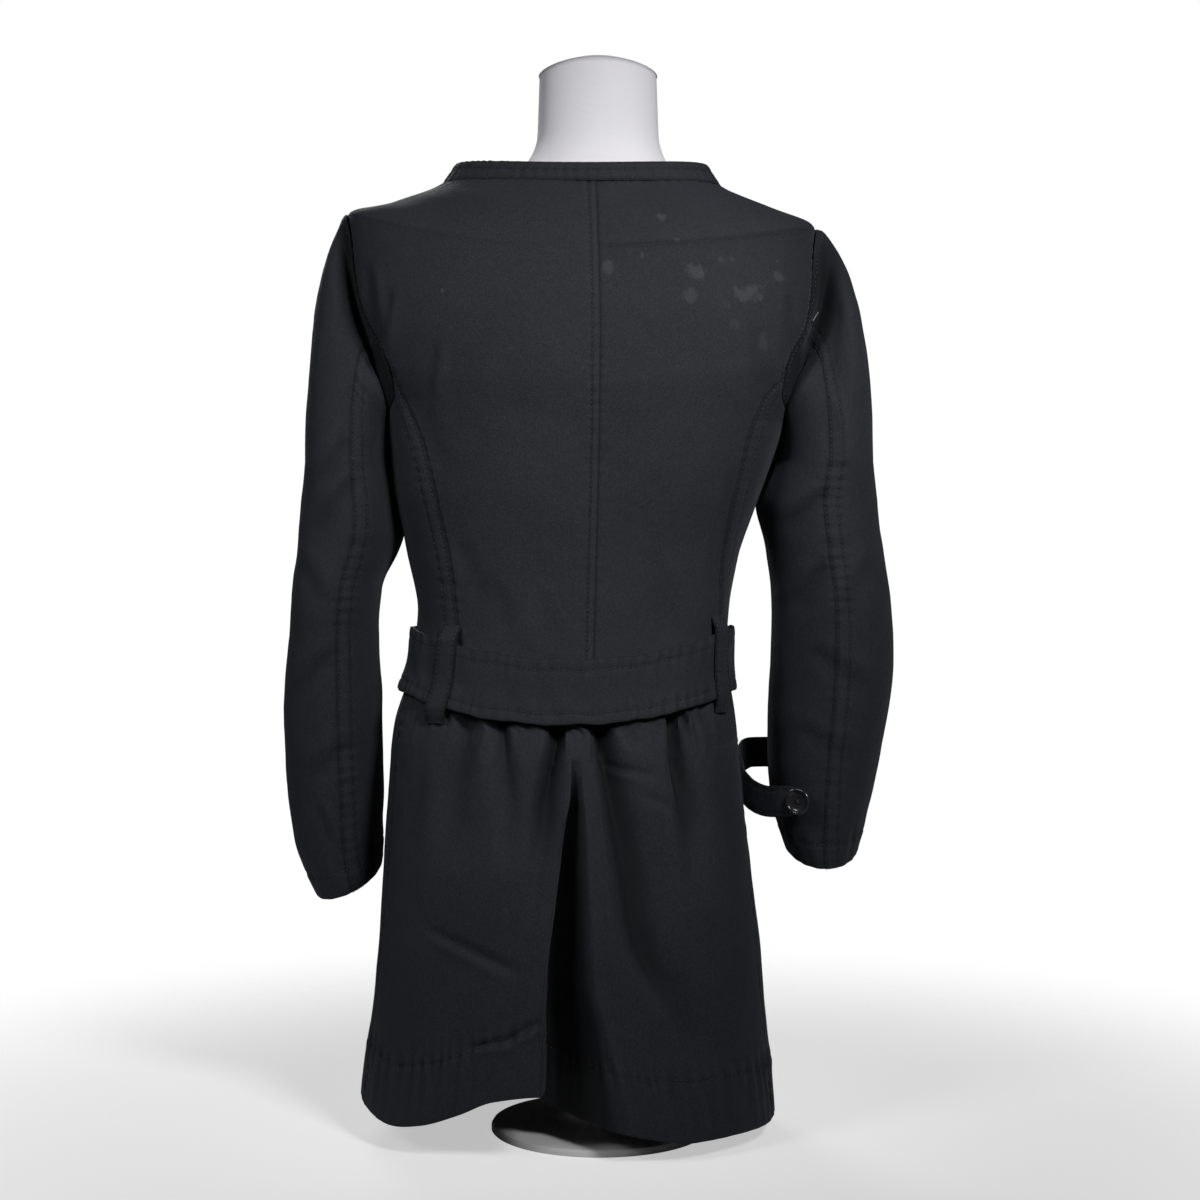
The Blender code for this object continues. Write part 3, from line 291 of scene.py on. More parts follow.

# Listed creases: a trough from one point to another, with a soft ridge on one side of it.
# ridge is +1 for a ridge on the wearer's left of the line, -1 for its right.
Crease = namedtuple("Crease", "x_top z_top x_low z_low width depth ridge")
BACK_CREASES = records(Crease, (
    # Left shoulder blade and armhole
    (0.176, 0.722, 0.187, 0.674, 0.0050, 0.0024, -1),
    (0.137, 0.676, 0.148, 0.622, 0.0055, 0.0022, -1),
    (0.196, 0.742, 0.190, 0.660, 0.0060, 0.0030, -1),
    (0.160, 0.640, 0.128, 0.560, 0.0100, 0.0012, 1),
    (0.118, 0.510, 0.094, 0.452, 0.0090, 0.0013, 1),
    (0.090, 0.480, 0.075, 0.425, 0.0075, 0.0009, -1),
    # Middle and right of the upper back
    (0.050, 0.470, 0.040, 0.425, 0.0080, 0.0008, 1),
    (-0.045, 0.500, -0.060, 0.430, 0.0095, 0.0010, -1),
    (-0.110, 0.560, -0.098, 0.470, 0.0060, 0.0015, 1),
    (-0.128, 0.690, -0.146, 0.610, 0.0085, 0.0012, 1),
    (-0.160, 0.720, -0.166, 0.655, 0.0060, 0.0016, 1),
    (-0.020, 0.800, -0.070, 0.782, 0.0090, 0.0007, 1),
    # Skirt
    (-0.018, 0.358, -0.031, 0.340, 0.0045, 0.0016, 1),
    (-0.083, 0.372, -0.087, 0.356, 0.0040, 0.0014, 1),
    (-0.003, 0.325, -0.047, 0.316, 0.0035, 0.0016, 1),
    (-0.038, 0.300, -0.066, 0.286, 0.0040, 0.0012, 1),
    (0.062, 0.368, 0.060, 0.330, 0.0050, 0.0012, -1),
    (0.147, 0.190, 0.067, 0.158, 0.0040, 0.0026, 1),
    (0.108, 0.096, 0.070, 0.104, 0.0030, 0.0022, -1),
    (0.078, 0.103, 0.047, 0.120, 0.0032, 0.0022, -1),
    (0.150, 0.330, 0.160, 0.240, 0.0090, 0.0012, -1),
    (-0.045, 0.300, -0.060, 0.200, 0.0110, 0.0012, 1),
    (-0.100, 0.350, -0.112, 0.230, 0.0090, 0.0013, -1),
    (-0.060, 0.160, -0.110, 0.060, 0.0120, 0.0012, 1),
    # Left sleeve
    (0.214, 0.600, 0.236, 0.560, 0.0080, 0.0022, 1),
    (0.206, 0.566, 0.246, 0.512, 0.0085, 0.0018, 1),
    (0.262, 0.500, 0.232, 0.452, 0.0080, 0.0016, -1),
    (0.224, 0.420, 0.270, 0.372, 0.0090, 0.0017, 1),
    (0.212, 0.340, 0.252, 0.306, 0.0080, 0.0014, 1),
    (0.245, 0.283, 0.235, 0.246, 0.0050, 0.0016, -1),
    # Right sleeve
    (-0.206, 0.724, -0.200, 0.640, 0.0090, 0.0038, -1),
    (-0.197, 0.630, -0.203, 0.560, 0.0080, 0.0018, -1),
    (-0.196, 0.556, -0.160, 0.522, 0.0075, 0.0026, 1),
    (-0.192, 0.492, -0.170, 0.452, 0.0080, 0.0022, 1),
    (-0.236, 0.500, -0.206, 0.440, 0.0090, 0.0014, 1),
    (-0.180, 0.420, -0.232, 0.380, 0.0085, 0.0016, -1),
    (-0.172, 0.350, -0.220, 0.322, 0.0080, 0.0013, -1),
))
# Fronts and the sleeves' front sides, plainer
FRONT_CREASES = records(Crease, (
    (0.150, 0.700, 0.120, 0.610, 0.0100, 0.0016, 1),
    (-0.130, 0.700, -0.100, 0.600, 0.0100, 0.0016, -1),
    (0.100, 0.560, 0.070, 0.460, 0.0110, 0.0014, 1),
    (-0.080, 0.540, -0.050, 0.450, 0.0110, 0.0014, -1),
    (0.110, 0.360, 0.130, 0.220, 0.0120, 0.0020, 1),
    (0.050, 0.350, 0.060, 0.190, 0.0110, 0.0016, -1),
    (-0.070, 0.350, -0.085, 0.200, 0.0110, 0.0018, 1),
    (0.212, 0.560, 0.250, 0.500, 0.0090, 0.0020, 1),
    (0.260, 0.440, 0.220, 0.390, 0.0090, 0.0016, -1),
    (-0.180, 0.560, -0.220, 0.500, 0.0090, 0.0020, -1),
    (-0.236, 0.430, -0.190, 0.380, 0.0090, 0.0016, 1),
))
FACES = ((1, BACK_CREASES), (-1, FRONT_CREASES))
RIDGE_SHARE = 0.5
RIDGE_AWAY = 1.7
# How strongly a crease's relief paints shade into its trough and a highlight onto its ridge
CREASE_PAINTED_LIGHT = 230

# Pale marks on the back, as ellipses with ragged edges.
Mark = namedtuple("Mark", "x z half_x half_z degrees strength")
MARKS = records(Mark, (
    (-0.0066, 0.7380, 0.0062, 0.0058, 0, 0.75),
    (-0.0520, 0.7810, 0.0036, 0.0034, 0, 0.80),
    (-0.0635, 0.7605, 0.0023, 0.0021, 0, 0.70),
    (-0.0346, 0.7465, 0.0015, 0.0027, 0, 0.60),
    (-0.0810, 0.7325, 0.0080, 0.0074, 0, 0.85),
    (-0.0734, 0.7127, 0.0058, 0.0064, 20, 0.65),
    (-0.1006, 0.7450, 0.0030, 0.0034, 0, 0.60),
    (-0.1105, 0.7450, 0.0028, 0.0030, 0, 0.60),
    (-0.1220, 0.7176, 0.0130, 0.0075, -18, 0.80),
    (-0.1490, 0.7340, 0.0045, 0.0042, 0, 0.75),
    (-0.1490, 0.7470, 0.0015, 0.0015, 0, 0.70),
    (-0.1120, 0.6920, 0.0075, 0.0045, 10, 0.35),
    (-0.1360, 0.6780, 0.0036, 0.0085, -8, 0.35),
    (-0.0635, 0.6560, 0.0012, 0.0012, 0, 0.70),
    (0.1310, 0.7190, 0.0014, 0.0016, 0, 1.00),
    (0.0734, 0.6690, 0.0048, 0.0018, -10, 0.40),
    (0.0767, 0.2080, 0.0024, 0.0018, 0, 0.30),
))

# Relief along seams: how far a groove spreads, how deep thread pulls the cloth, how high a seam stands
GROOVE = 0.0011
STITCH_PULL = 0.00060
SEAM_RISE = 0.00030
EDGE_RISE = 0.00025
SOFT_ROLL = 0.0005
SHARP_ROLL = 0.0004
HEM_RISE = 0.00045

# How much paler or darker than plain cloth these places are: painted shade in seam and stitch grooves and in
# folds, painted highlights on pucker crests, and raised seams paler from rubbing and a painted highlight
SEAM_RUB_AND_HIGHLIGHT = 0.25
PUCKER_PAINTED_HIGHLIGHT = 0.35
STITCH_PAINTED_SHADE = 1.2
SEAM_PAINTED_SHADE = 1.4
FOLD_PAINTED_SHADE = 2.2

# From one thread, or one column or row of loops, to the next
WEAVE = 0.0009
WALE = 0.0013
COURSE = 0.0010

# Angles from which an edge counts as sharp
CLOTH_SHARP = math.radians(50)
BUTTON_SHARP = math.radians(40)

# Distances of the stitch rows from the edges that they follow
TOPSTITCH = 0.0066
SECOND_ROW = 0.0125
EDGE_ROW = 0.0022
BAND_ROW_HIGH = 0.0074
BELT_STITCH = 0.0095
STRAP_ROW = 0.0035
ARMHOLE_ROW_AT = 0.0030
HEM_DEPTH = 0.050
CUFF_DEPTH = 0.022
FRONT_EDGE_ROW = 0.0080

SEAM_ROWS = {}
FINISHES = {}


# ---------------------------------------------------------------- sizes and colours to change

def length(name, description, default):
    return bpy.props.FloatProperty(
        name=name, description=description, default=default, unit="LENGTH", precision=5)


def tint(name, description, default):
    return bpy.props.FloatVectorProperty(
        name=name, description=description, subtype="COLOR", size=3, default=default)


class CoatSizes(bpy.types.PropertyGroup):
    """Sizes of the cloth's relief and of its stitches."""
    cloth: length("Cloth", "Thickness of one layer", 0.0012)
    trim: length("Seam gap", "How far an edge is drawn in at a seam", -0.00010)
    roll: length("Seam roll", "Depth of the groove at a seam", 0.0007)
    pucker: length("Pucker height", "Height of the puckers along a seam", 0.00070)
    pucker_length: length("Pucker length", "From one pucker to the next", 0.0095)
    waviness: length("Waviness", "Height of the slow waves of the cloth", 0.0011)
    stitch: length("Stitch", "Length of one stitch", 0.0030)
    pitch: length("Pitch", "From one stitch to the next", 0.0040)
    thread: length("Thread", "Radius of the sewing thread", 0.00030)


class CoatColours(bpy.types.PropertyGroup):
    """Colours of the finishes."""
    cloth: tint("Cloth", "Light tone of the cloth", (0.0262, 0.0290, 0.0362))
    # The dark tone serves both the random mottling and the painted shade.
    shade: tint("Shade", "Dark tone of the cloth", (0.0108, 0.0125, 0.0156))
    mark: tint("Marks", "Pale marks on the back", (0.050, 0.052, 0.058))
    thread: tint("Thread", "Sewing thread", (0.010, 0.011, 0.013))
    button: tint("Buttons", "Glossy buttons", (0.010, 0.010, 0.012))
    jersey: tint("Jersey", "Cover of the dress form", (0.90, 0.885, 0.935))
    stand: tint("Stand", "Painted steel of the stand", (0.80, 0.80, 0.81))


def sizes():
    return bpy.context.scene.coat_sizes


def colours():
    return bpy.context.scene.coat_colours


# ---------------------------------------------------------------- curves and surfaces

def through(knots, values, where):
    """A smooth curve through the values at the knots that never swings past them."""
    knots, values = np.asarray(knots, float), np.asarray(values, float)
    where = np.clip(where, knots[0], knots[-1])
    step = np.diff(knots)
    slope = np.diff(values) / step
    product = slope[:-1] * slope[1:]
    total = np.where(product > 0, slope[:-1] + slope[1:], 1)
    tangent = np.concatenate([slope[:1], np.where(product > 0, 2 * product / total, 0), slope[-1:]])
    i = np.clip(np.searchsorted(knots, where) - 1, 0, len(step) - 1)
    t = (where - knots[i]) / step[i]
    return (
        (1 + 2 * t) * (1 - t) ** 2 * values[i]
        + t * (1 - t) ** 2 * step[i] * tangent[i]
        + t * t * (3 - 2 * t) * values[i + 1]
        + t * t * (t - 1) * step[i] * tangent[i + 1]
    )


def smooth_step(low, high, value):
    t = np.clip((value - low) / (high - low), 0, 1)
    return t * t * (3 - 2 * t)


def hump(value, middle, width):
    return np.exp(-(((value - middle) / width) ** 2))


def column(rows, name):
    return [getattr(row, name) for row in rows]


def unit(vectors):
    return vectors / np.maximum(np.linalg.norm(vectors, axis=-1, keepdims=True), 1e-12)


def ring_at(rings, row):
    index = range(len(rings))
    return Ring(*(through(index, column(rings, name), row) for name in Ring._fields))


def on_ring(ring, angle):
    """The point at an angle on a ring: 0 is the wearer's left side, 90 degrees the middle of the back."""
    across, along = np.cos(angle), np.sin(angle)
    reach_x = np.sign(across) * np.abs(across) ** ring.square
    reach_y = np.abs(along) ** ring.square
    x = (ring.x_left + ring.x_right) / 2 + (ring.x_left - ring.x_right) / 2 * reach_x
    y = reach_y * np.where(along > 0, ring.y_back, ring.y_front)
    side_z = np.where(across > 0, ring.z_left, ring.z_right)
    middle_z = np.where(along > 0, ring.z_back, ring.z_front)
    return np.stack([x, y, side_z * across**2 + middle_z * along**2], axis=-1)


def pleat_at(z):
    """The centre fold's left edge, right edge and depth at a height."""
    rising = PLEAT[::-1]
    return [through(column(rising, "z"), column(rising, name), z) for name in ("x_left", "x_right", "depth")]


def fold_at(fold, z):
    """A fold's middle, width and depth at a height."""
    rising = fold.line[::-1]
    return [through(column(rising, "z"), column(rising, name), z) for name in ("x", "width", "depth")]


def fold_depth(x, z):
    """How far the skirt's back is pushed in by its folds."""
    depth = np.zeros(np.broadcast(x, z).shape)
    for fold in FOLDS:
        middle, width, deep = fold_at(fold, z)
        flank = 0.5 * width * np.where(x > middle, fold.lean**-0.5, fold.lean**0.5)
        depth = depth + deep * hump(x, middle, flank)
    left, right, deep = pleat_at(z)
    share = (left - x) / (left - right)
    return depth + deep * smooth_step(*PLEAT_DROP, share) * smooth_step(*PLEAT_RISE, share)


def coat(angle, row, folded=True):
    """A point of the coat's surface, with or without the skirt's folds."""
    angle, row = np.broadcast_arrays(np.asarray(angle, float), np.asarray(row, float))
    point = on_ring(ring_at(COAT_RINGS, row), angle)
    is_back = np.sin(angle) > 0
    hem = through(column(HEM_BACK, "x"), column(HEM_BACK, "z"), point[..., 0])
    own = on_ring(COAT_RINGS[HEM_ROW], angle)[..., 2]
    share = smooth_step(WAIST_ROW + 1, HEM_ROW, row)
    point[..., 2] += np.where(is_back, share * (hem - own), 0)
    if not folded:
        return point
    inward = np.stack([-np.cos(angle), -np.sin(angle)], axis=-1)
    degrees = np.degrees(np.arctan2(np.sin(angle), np.cos(angle)))
    x = point[..., 0].copy()
    depth = np.where(is_back, fold_depth(x, point[..., 2]), 0)
    depth = depth * smooth_step(WAIST_ROW, WAIST_ROW + 0.4, row)
    for fold in FRONT_FOLDS:
        shape = hump(degrees, fold.degrees, FRONT_FOLD_WIDTH)
        depth = depth + fold.depth * shape * smooth_step(WAIST_ROW, HEM_ROW, row)
    point[..., :2] += inward * depth[..., None]
    point[..., 0] += np.where(is_back, tucked_under(x, point[..., 2]), 0)
    return point


def tucked_under(x, z):
    """How far the inside of the centre fold lies behind the cloth on its left."""
    left, right, deep = pleat_at(z)
    share = (left - x) / (left - right)
    return PLEAT_UNDER * deep * smooth_step(0.0, 0.09, share) * smooth_step(1.0, 0.3, share)


def outward(angle, row):
    """The outward direction of the coat's unfolded surface."""
    small = 1e-3
    around = coat(angle + small, row, False) - coat(angle - small, row, False)
    low, high = np.minimum(row + small, HEM_ROW), np.maximum(row - small, 0)
    return unit(np.cross(coat(angle, low, False) - coat(angle, high, False), around))


def angle_at(x, row):
    ring = ring_at(COAT_RINGS, row)
    share = np.clip((x - (ring.x_left + ring.x_right) / 2) / ((ring.x_left - ring.x_right) / 2), -1, 1)
    return np.arccos(np.sign(share) * np.abs(share) ** (1 / ring.square))


def seam_angle(seam, row):
    """The angle where a seam of the back crosses a row."""
    ordered = sorted(seam)
    angle = angle_at(seam[0].x, row)
    for _ in range(12):
        height = on_ring(ring_at(COAT_RINGS, row), angle)[..., 2]
        angle = angle_at(through(column(ordered, "z"), column(ordered, "x"), height), row)
    return angle


def row_at_height(angle, height):
    low = np.full(np.broadcast(angle, height).shape, float(SHOULDER_ROW))
    high = np.full_like(low, HEM_ROW)
    for _ in range(24):
        middle = (low + high) / 2
        is_above = coat(angle, middle, False)[..., 2] > height
        low = np.where(is_above, middle, low)
        high = np.where(is_above, high, middle)
    return (low + high) / 2


def armhole_angle(share, part):
    return np.radians(through(column(ARMHOLE, "share"), column(ARMHOLE, part), share))


def armhole_row(share):
    return SHOULDER_ROW + share * (UNDERARM_ROW - SHOULDER_ROW)


def side_edge(part, rows):
    share = np.clip((rows - SHOULDER_ROW) / (UNDERARM_ROW - SHOULDER_ROW), 0, 1)
    return armhole_angle(share, part)


def to_side(angle, side):
    return angle if side == "left" else np.pi - angle


def in_order(side, inner, outer):
    """The inner and outer one of a pair, in the order of the columns, which run towards the wearer's left."""
    return (inner, outer) if side == "left" else (outer, inner)


def princess_edge(side, rows):
    angle = to_side(seam_angle(PRINCESS[side], rows), side)
    return np.maximum(angle, side_edge("back", rows) + PRINCESS_INSET)


def sleeve_ring(side, turn, row):
    """A point of the sleeve's tube: turn 0 is its outer side and a quarter turn its back."""
    rings = SLEEVES[side]
    index = range(len(rings))
    ring = SleeveRing(*(through(index, column(rings, name), row) for name in SleeveRing._fields))
    out, back = np.cos(turn + TWIST[side]), np.sin(turn + TWIST[side])
    x = (ring.x_outer + ring.x_inner) / 2 + (ring.x_outer - ring.x_inner) / 2 * out
    y = (ring.y_back + ring.y_front) / 2 + (ring.y_back - ring.y_front) / 2 * back
    # The sleeve lies against the front of the body's side, just under the arm.
    facing = hump(np.mod(turn + TWIST[side], 2 * np.pi), TUCK_TURN, TUCK_WIDTH)
    x = x - SIDE_SIGN[side] * TUCK * facing * smooth_step(1.8, 0.3, row)
    return np.stack([x, y, ring.z - ring.drop_out * out - ring.drop_back * back], axis=-1)


def beside_body(side, point, gap):
    """The point, moved out where it would come nearer to the body's side than the gap."""
    rows = np.linspace(SHOULDER_ROW, HEM_ROW, 90)
    heights = through(range(len(COAT_RINGS)), column(COAT_RINGS, "z_" + side), rows)
    ring = ring_at(COAT_RINGS, np.interp(-point[..., 2], -heights, rows))
    deep = np.clip(point[..., 1] / np.where(point[..., 1] > 0, ring.y_back, ring.y_front), 0, 1)
    across = np.sqrt(1 - deep ** (2 / ring.square)) ** ring.square
    edge = (ring.x_left + ring.x_right) / 2 + SIDE_SIGN[side] * across * (ring.x_left - ring.x_right) / 2
    near = gap - SIDE_SIGN[side] * (point[..., 0] - edge)
    point[..., 0] += SIDE_SIGN[side] * np.maximum(near, 0) * smooth_step(0.70, 0.64, point[..., 2])
    return point


def sleeve(side, turn, row):
    """A point of the sleeve. Rows -1 to 0 are its cap, from the armhole to the first ring of the tube."""
    turn, row = np.broadcast_arrays(np.asarray(turn, float), np.asarray(row, float))
    tube = sleeve_ring(side, turn, np.maximum(row, 0))
    share = (1 - np.cos(turn)) / 2
    is_back = np.sin(turn) >= 0
    angle = np.where(is_back, armhole_angle(share, "back"), -armhole_angle(share, "front"))
    out = np.array([SIDE_SIGN[side], 0, 0])
    start = coat(to_side(angle, side), armhole_row(share)) + out * SLEEVE_START
    first = sleeve_ring(side, turn, np.zeros_like(row))
    hang = np.zeros_like(start)
    hang[..., 2] = CAP_HANG * (start[..., 2] - first[..., 2])
    is_top = (1 + np.cos(turn)) / 2
    lead = start + out * CAP_OUT[side] * is_top[..., None] - np.array([0, 0, CAP_DROP])
    t = np.clip(row + 1, 0, 1)[..., None]
    cap = (1 - t) ** 3 * start + 3 * t * (1 - t) ** 2 * lead
    cap += 3 * t * t * (1 - t) * (first + hang) + t**3 * first
    point = np.where((row < 0)[..., None], cap, tube)
    fold = ARM_FOLD_DEPTH * hump(row + 1, ARM_FOLD_AT, ARM_FOLD_WIDTH) * np.clip(np.sin(turn), 0, 1) ** 2
    point[..., 1] -= np.where(row < 0.5, fold, 0)
    return beside_body(side, point, SLEEVE_START + (SLEEVE_GAP - SLEEVE_START) * smooth_step(-1, -0.8, row))


# ---------------------------------------------------------------- relief of the cloth

def lattice(points, size, seed):
    """Smooth random bumps in space, from -1 to 1, about one size across."""
    cell = points / size
    base = np.floor(cell)
    t = cell - base
    t = t * t * (3 - 2 * t)
    total = np.zeros(points.shape[:-1])
    for corner in itertools.product((0, 1), repeat=3):
        weight = np.prod(np.where(corner, t, 1 - t), axis=-1)
        chance = np.sin((base + corner) @ (127.1, 311.7, 74.7) + seed * 17.17) * 43758.5453
        total += weight * (2 * (chance - np.floor(chance)) - 1)
    return total


def wander(along, size, seed):
    points = np.zeros(np.shape(along) + (3,))
    points[..., 0] = along
    return lattice(points, size, seed)


def ripple(along, period, seed):
    """Uneven waves along a line, from about -1 to 1."""
    phase = along / period + 0.55 * wander(along, 2.2 * period, seed)
    return np.sin(2 * np.pi * phase) * (0.65 + 0.35 * wander(along, 3.1 * period, seed + 1))


def grid_normals(points):
    across = np.gradient(points, axis=1)
    down = np.gradient(points, axis=0)
    return unit(np.cross(across, down))


def spread(count, near=0.72):
    """Shares from 0 to 1, closer together at both ends."""
    even = np.linspace(0, 1, count)
    return even - near * np.sin(2 * np.pi * even) / (2 * np.pi)


def between(first, last, columns):
    """Columns from one edge's angles to the other's, row by row, closer together at the edges."""
    return first[:, None] + (last - first)[:, None] * spread(columns)


class Cloth:
    """A grid of points on a piece of cloth: rows down, columns towards the wearer's left round the back."""

    def __init__(self, name, points, seed):
        self.name = name
        self.seed = seed
        self.points = self.drawn_in(points, sizes().trim)
        self.normals = grid_normals(self.points)
        zero = np.zeros(self.points.shape[:1] + (1,))
        step = np.linalg.norm(np.diff(self.points, axis=1), axis=-1)
        self.across = np.concatenate([zero, np.cumsum(step, axis=1)], axis=1)
        zero = np.zeros((1,) + self.points.shape[1:2])
        step = np.linalg.norm(np.diff(self.points, axis=0), axis=-1)
        self.down = np.concatenate([zero, np.cumsum(step, axis=0)], axis=0)
        self.push = np.zeros(self.points.shape[:2])
        # Painted shade and painted highlights, with some rubbed paleness on raised seams, that the material
        # turns into colour
        self.wear = np.zeros(self.points.shape[:2])
        self.thick = np.full(self.points.shape[:2], sizes().cloth)

    @staticmethod
    def drawn_in(grid, gap):
        grid = grid.copy()
        for _ in range(2):
            for near, next_in in ((0, 1), (-1, -2)):
                grid[near] += unit(grid[next_in] - grid[near]) * gap
            grid = grid.swapaxes(0, 1)
        return grid

    def distance(self, edge):
        return {
            "first": self.across,
            "last": self.across[:, -1:] - self.across,
            "top": self.down,
            "bottom": self.down[-1:] - self.down,
        }[edge]

    def along(self, edge):
        """The place along an edge: height on an upright edge, so that both sides of a seam pucker alike."""
        if edge in ("first", "last"):
            line = self.points[:, 0 if edge == "first" else -1, 2]
            return np.broadcast_to(line[:, None], self.push.shape)
        line = self.across[0 if edge == "top" else -1]
        return np.broadcast_to(line[None, :], self.push.shape)

    def roll(self, *edges, depth=None):
        """Edges dip into the seam, and painted shade darkens the groove."""
        depth = sizes().roll if depth is None else depth
        for edge in edges:
            near = np.exp(-self.distance(edge) / GROOVE)
            self.push -= depth * near
            self.wear -= SEAM_PAINTED_SHADE * near

    def puckers(self, edge, at, reach=0.0055, strength=1.0, period=None, seed=0):
        """Short ripples across a stitch row at a distance from an edge, with painted highlights on their
        crests.
        """
        far = self.distance(edge)
        period = period or sizes().pucker_length
        wave = ripple(self.along(edge), period, self.seed + seed)
        shape = hump(far, at, reach)
        self.push += strength * sizes().pucker * wave * shape
        self.wear += PUCKER_PAINTED_HIGHLIGHT * np.clip(wave, 0, 1) * shape * strength

    def stitched(self, edge, at, key, pulled=STITCH_PULL, raised=0.0, puckered=1.0, seed=0,
                 start=0.0, stop=1.0):
        """A stitch row along an edge: it pulls the cloth in, puckers it, and is kept for its thread. Painted
        shade darkens its groove, and a raised seam is paler, partly from rubbing and partly from a painted
        highlight.
        """
        far = self.distance(edge)
        self.push -= pulled * hump(far, at, GROOVE)
        if raised:
            self.push += raised * smooth_step(at + 0.0010, at - 0.0014, far) * smooth_step(0, 0.0016, far)
        self.wear += SEAM_RUB_AND_HIGHLIGHT * raised / SEAM_RISE * hump(far, at * 0.5, at * 0.5)
        self.wear -= STITCH_PAINTED_SHADE * hump(far, at, GROOVE)
        if puckered:
            self.puckers(edge, at, strength=puckered, seed=seed)
        SEAM_ROWS.setdefault(key, []).append((self, edge, at, start, stop))

    def creased(self):
        """The listed creases, on the face of the coat where they lie, and the slow waves of the cloth."""
        x, z = self.points[..., 0], self.points[..., 2]
        for face, crease in ((face, crease) for face, creases in FACES for crease in creases):
            facing = self.normals[..., 1] * face
            start = np.array([crease.x_top, crease.z_top])
            run = np.array([crease.x_low, crease.z_low]) - start
            length = np.linalg.norm(run)
            share = ((x - start[0]) * run[0] + (z - start[1]) * run[1]) / length**2
            aside = ((x - start[0]) * run[1] - (z - start[1]) * run[0]) / length * np.sign(run[1])
            width = crease.width * (0.75 + 0.5 * np.clip(share, 0, 1))
            taper = smooth_step(-0.12, 0.22, share) * smooth_step(1.15, 0.70, share)
            ridge = hump(aside, crease.ridge * RIDGE_AWAY * width, 1.1 * width)
            shape = RIDGE_SHARE * ridge - hump(aside, 0, width)
            relief = crease.depth * taper * smooth_step(0.05, 0.35, facing) * shape
            self.push += relief
            # Painted shade darkens the crease's trough and a painted highlight pales its ridge.
            self.wear += CREASE_PAINTED_LIGHT * relief
        waves = lattice(self.points, 0.055, 3) + 0.45 * lattice(self.points, 0.024, 5)
        self.push += sizes().waviness * (waves + 0.12 * lattice(self.points, 0.009, 7))

    def paint_fold_shade(self, share):
        """Painted shade: cloth deep in a fold is darkened where shade would fall."""
        self.wear -= FOLD_PAINTED_SHADE * smooth_step(0.05, 0.8, share)

    def surface(self):
        return self.points + self.normals * self.push[..., None]

    def row_line(self, edge, at, start, stop):
        """Points and outward directions along a stitch row."""
        surface = self.surface()
        facing = grid_normals(surface)
        far = self.distance(edge)
        if edge in ("top", "bottom"):
            surface, facing, far = (a.swapaxes(0, 1) for a in (surface, facing, far))
        lines = []
        for values in (surface, facing):
            picked = [
                [np.interp(at, f[order], v[order, axis]) for axis in range(3)]
                for f, v in zip(far, values)
                for order in (np.argsort(f),)
            ]
            lines.append(np.array(picked))
        count = len(lines[0])
        kept = slice(int(start * (count - 1)), int(stop * (count - 1)) + 1)
        return lines[0][kept], unit(lines[1][kept])

    def flat_size(self):
        """Width, length and area of the flat cut."""
        corners = self.points
        a = corners[1:, 1:] - corners[:-1, :-1]
        b = corners[1:, :-1] - corners[:-1, 1:]
        area = float(np.linalg.norm(np.cross(a, b), axis=-1).sum() / 2)
        return float(self.across[:, -1].max()), float(self.down[-1].max()), area

    def build(self, finish, *nodes, held="hung", rests_on=("form_torso",)):
        """Makes the closed wall: the grid, a copy of it one thickness in, and the rim between them."""
        rows, columns = self.push.shape
        outer = self.surface()
        inner = outer - self.normals * self.thick[..., None]
        count = rows * columns
        index = np.arange(count).reshape(rows, columns)
        a, b, c, d = index[:-1, :-1], index[:-1, 1:], index[1:, 1:], index[1:, :-1]
        front = np.stack([a, b, c, d], axis=-1).reshape(-1, 4)
        back = np.stack([d, c, b, a], axis=-1).reshape(-1, 4) + count
        edge = np.concatenate([index[0, :-1], index[:-1, -1], index[-1, :0:-1], index[:0:-1, 0]])
        after = np.roll(edge, -1)
        rim = np.stack([after, edge, edge + count, after + count], axis=-1)
        faces = np.concatenate([front, back, rim])
        flat = np.stack([self.across, -self.down], axis=-1).reshape(-1, 2)
        obj = quad_mesh(self.name, np.concatenate([outer, inner]).reshape(-1, 3), faces)
        in_metres(obj.data, np.concatenate([flat, flat]))
        # The attribute carries the painted shade and highlights, and the rubbed paleness, into the cloth's
        # colour; the inside gets none.
        toned = obj.data.attributes.new("wear", "FLOAT", "POINT")
        toned.data.foreach_set("value", np.stack([self.wear, self.wear * 0]).astype(np.float32).ravel())
        width, length, area = self.flat_size()
        finished(obj, finish, "coat_cloth", *nodes)
        return obj


def quad_mesh(name, points, faces):
    mesh = bpy.data.meshes.new(name)
    mesh.vertices.add(len(points))
    mesh.vertices.foreach_set("co", np.ascontiguousarray(points, np.float32).ravel())
    mesh.loops.add(faces.size)
    mesh.loops.foreach_set("vertex_index", np.ascontiguousarray(faces, np.int32).ravel())
    mesh.polygons.add(len(faces))
    mesh.polygons.foreach_set("loop_start", np.arange(0, faces.size, faces.shape[1], dtype=np.int32))
    mesh.update(calc_edges=True)
    mesh.validate()
    mesh.shade_smooth()
    mesh.set_sharp_from_angle(angle=CLOTH_SHARP)
    return placed(name, mesh)


def placed(name, data):
    """A new object in the scene."""
    obj = bpy.data.objects.new(name, data)
    bpy.context.scene.collection.objects.link(obj)
    return obj


def in_metres(mesh, flat):
    """Gives each point its place on the flat cloth."""
    corners = np.empty(len(mesh.loops), np.int32)
    mesh.loops.foreach_get("vertex_index", corners)
    layer = mesh.uv_layers.new(name="metres")
    layer.data.foreach_set("uv", flat[corners].astype(np.float32).ravel())


def finished(obj, finish, slot, *nodes):
    """Gives a piece its material and body, and hides the plain solids of the nodes that it stands for. Its
    slot is not used.
    """
    obj.data.materials.clear()
    obj.data.materials.append(FINISHES[finish])
    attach(obj, BODY)
    if nodes:
        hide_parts(*nodes)
    return obj


# ---------------------------------------------------------------- node trees

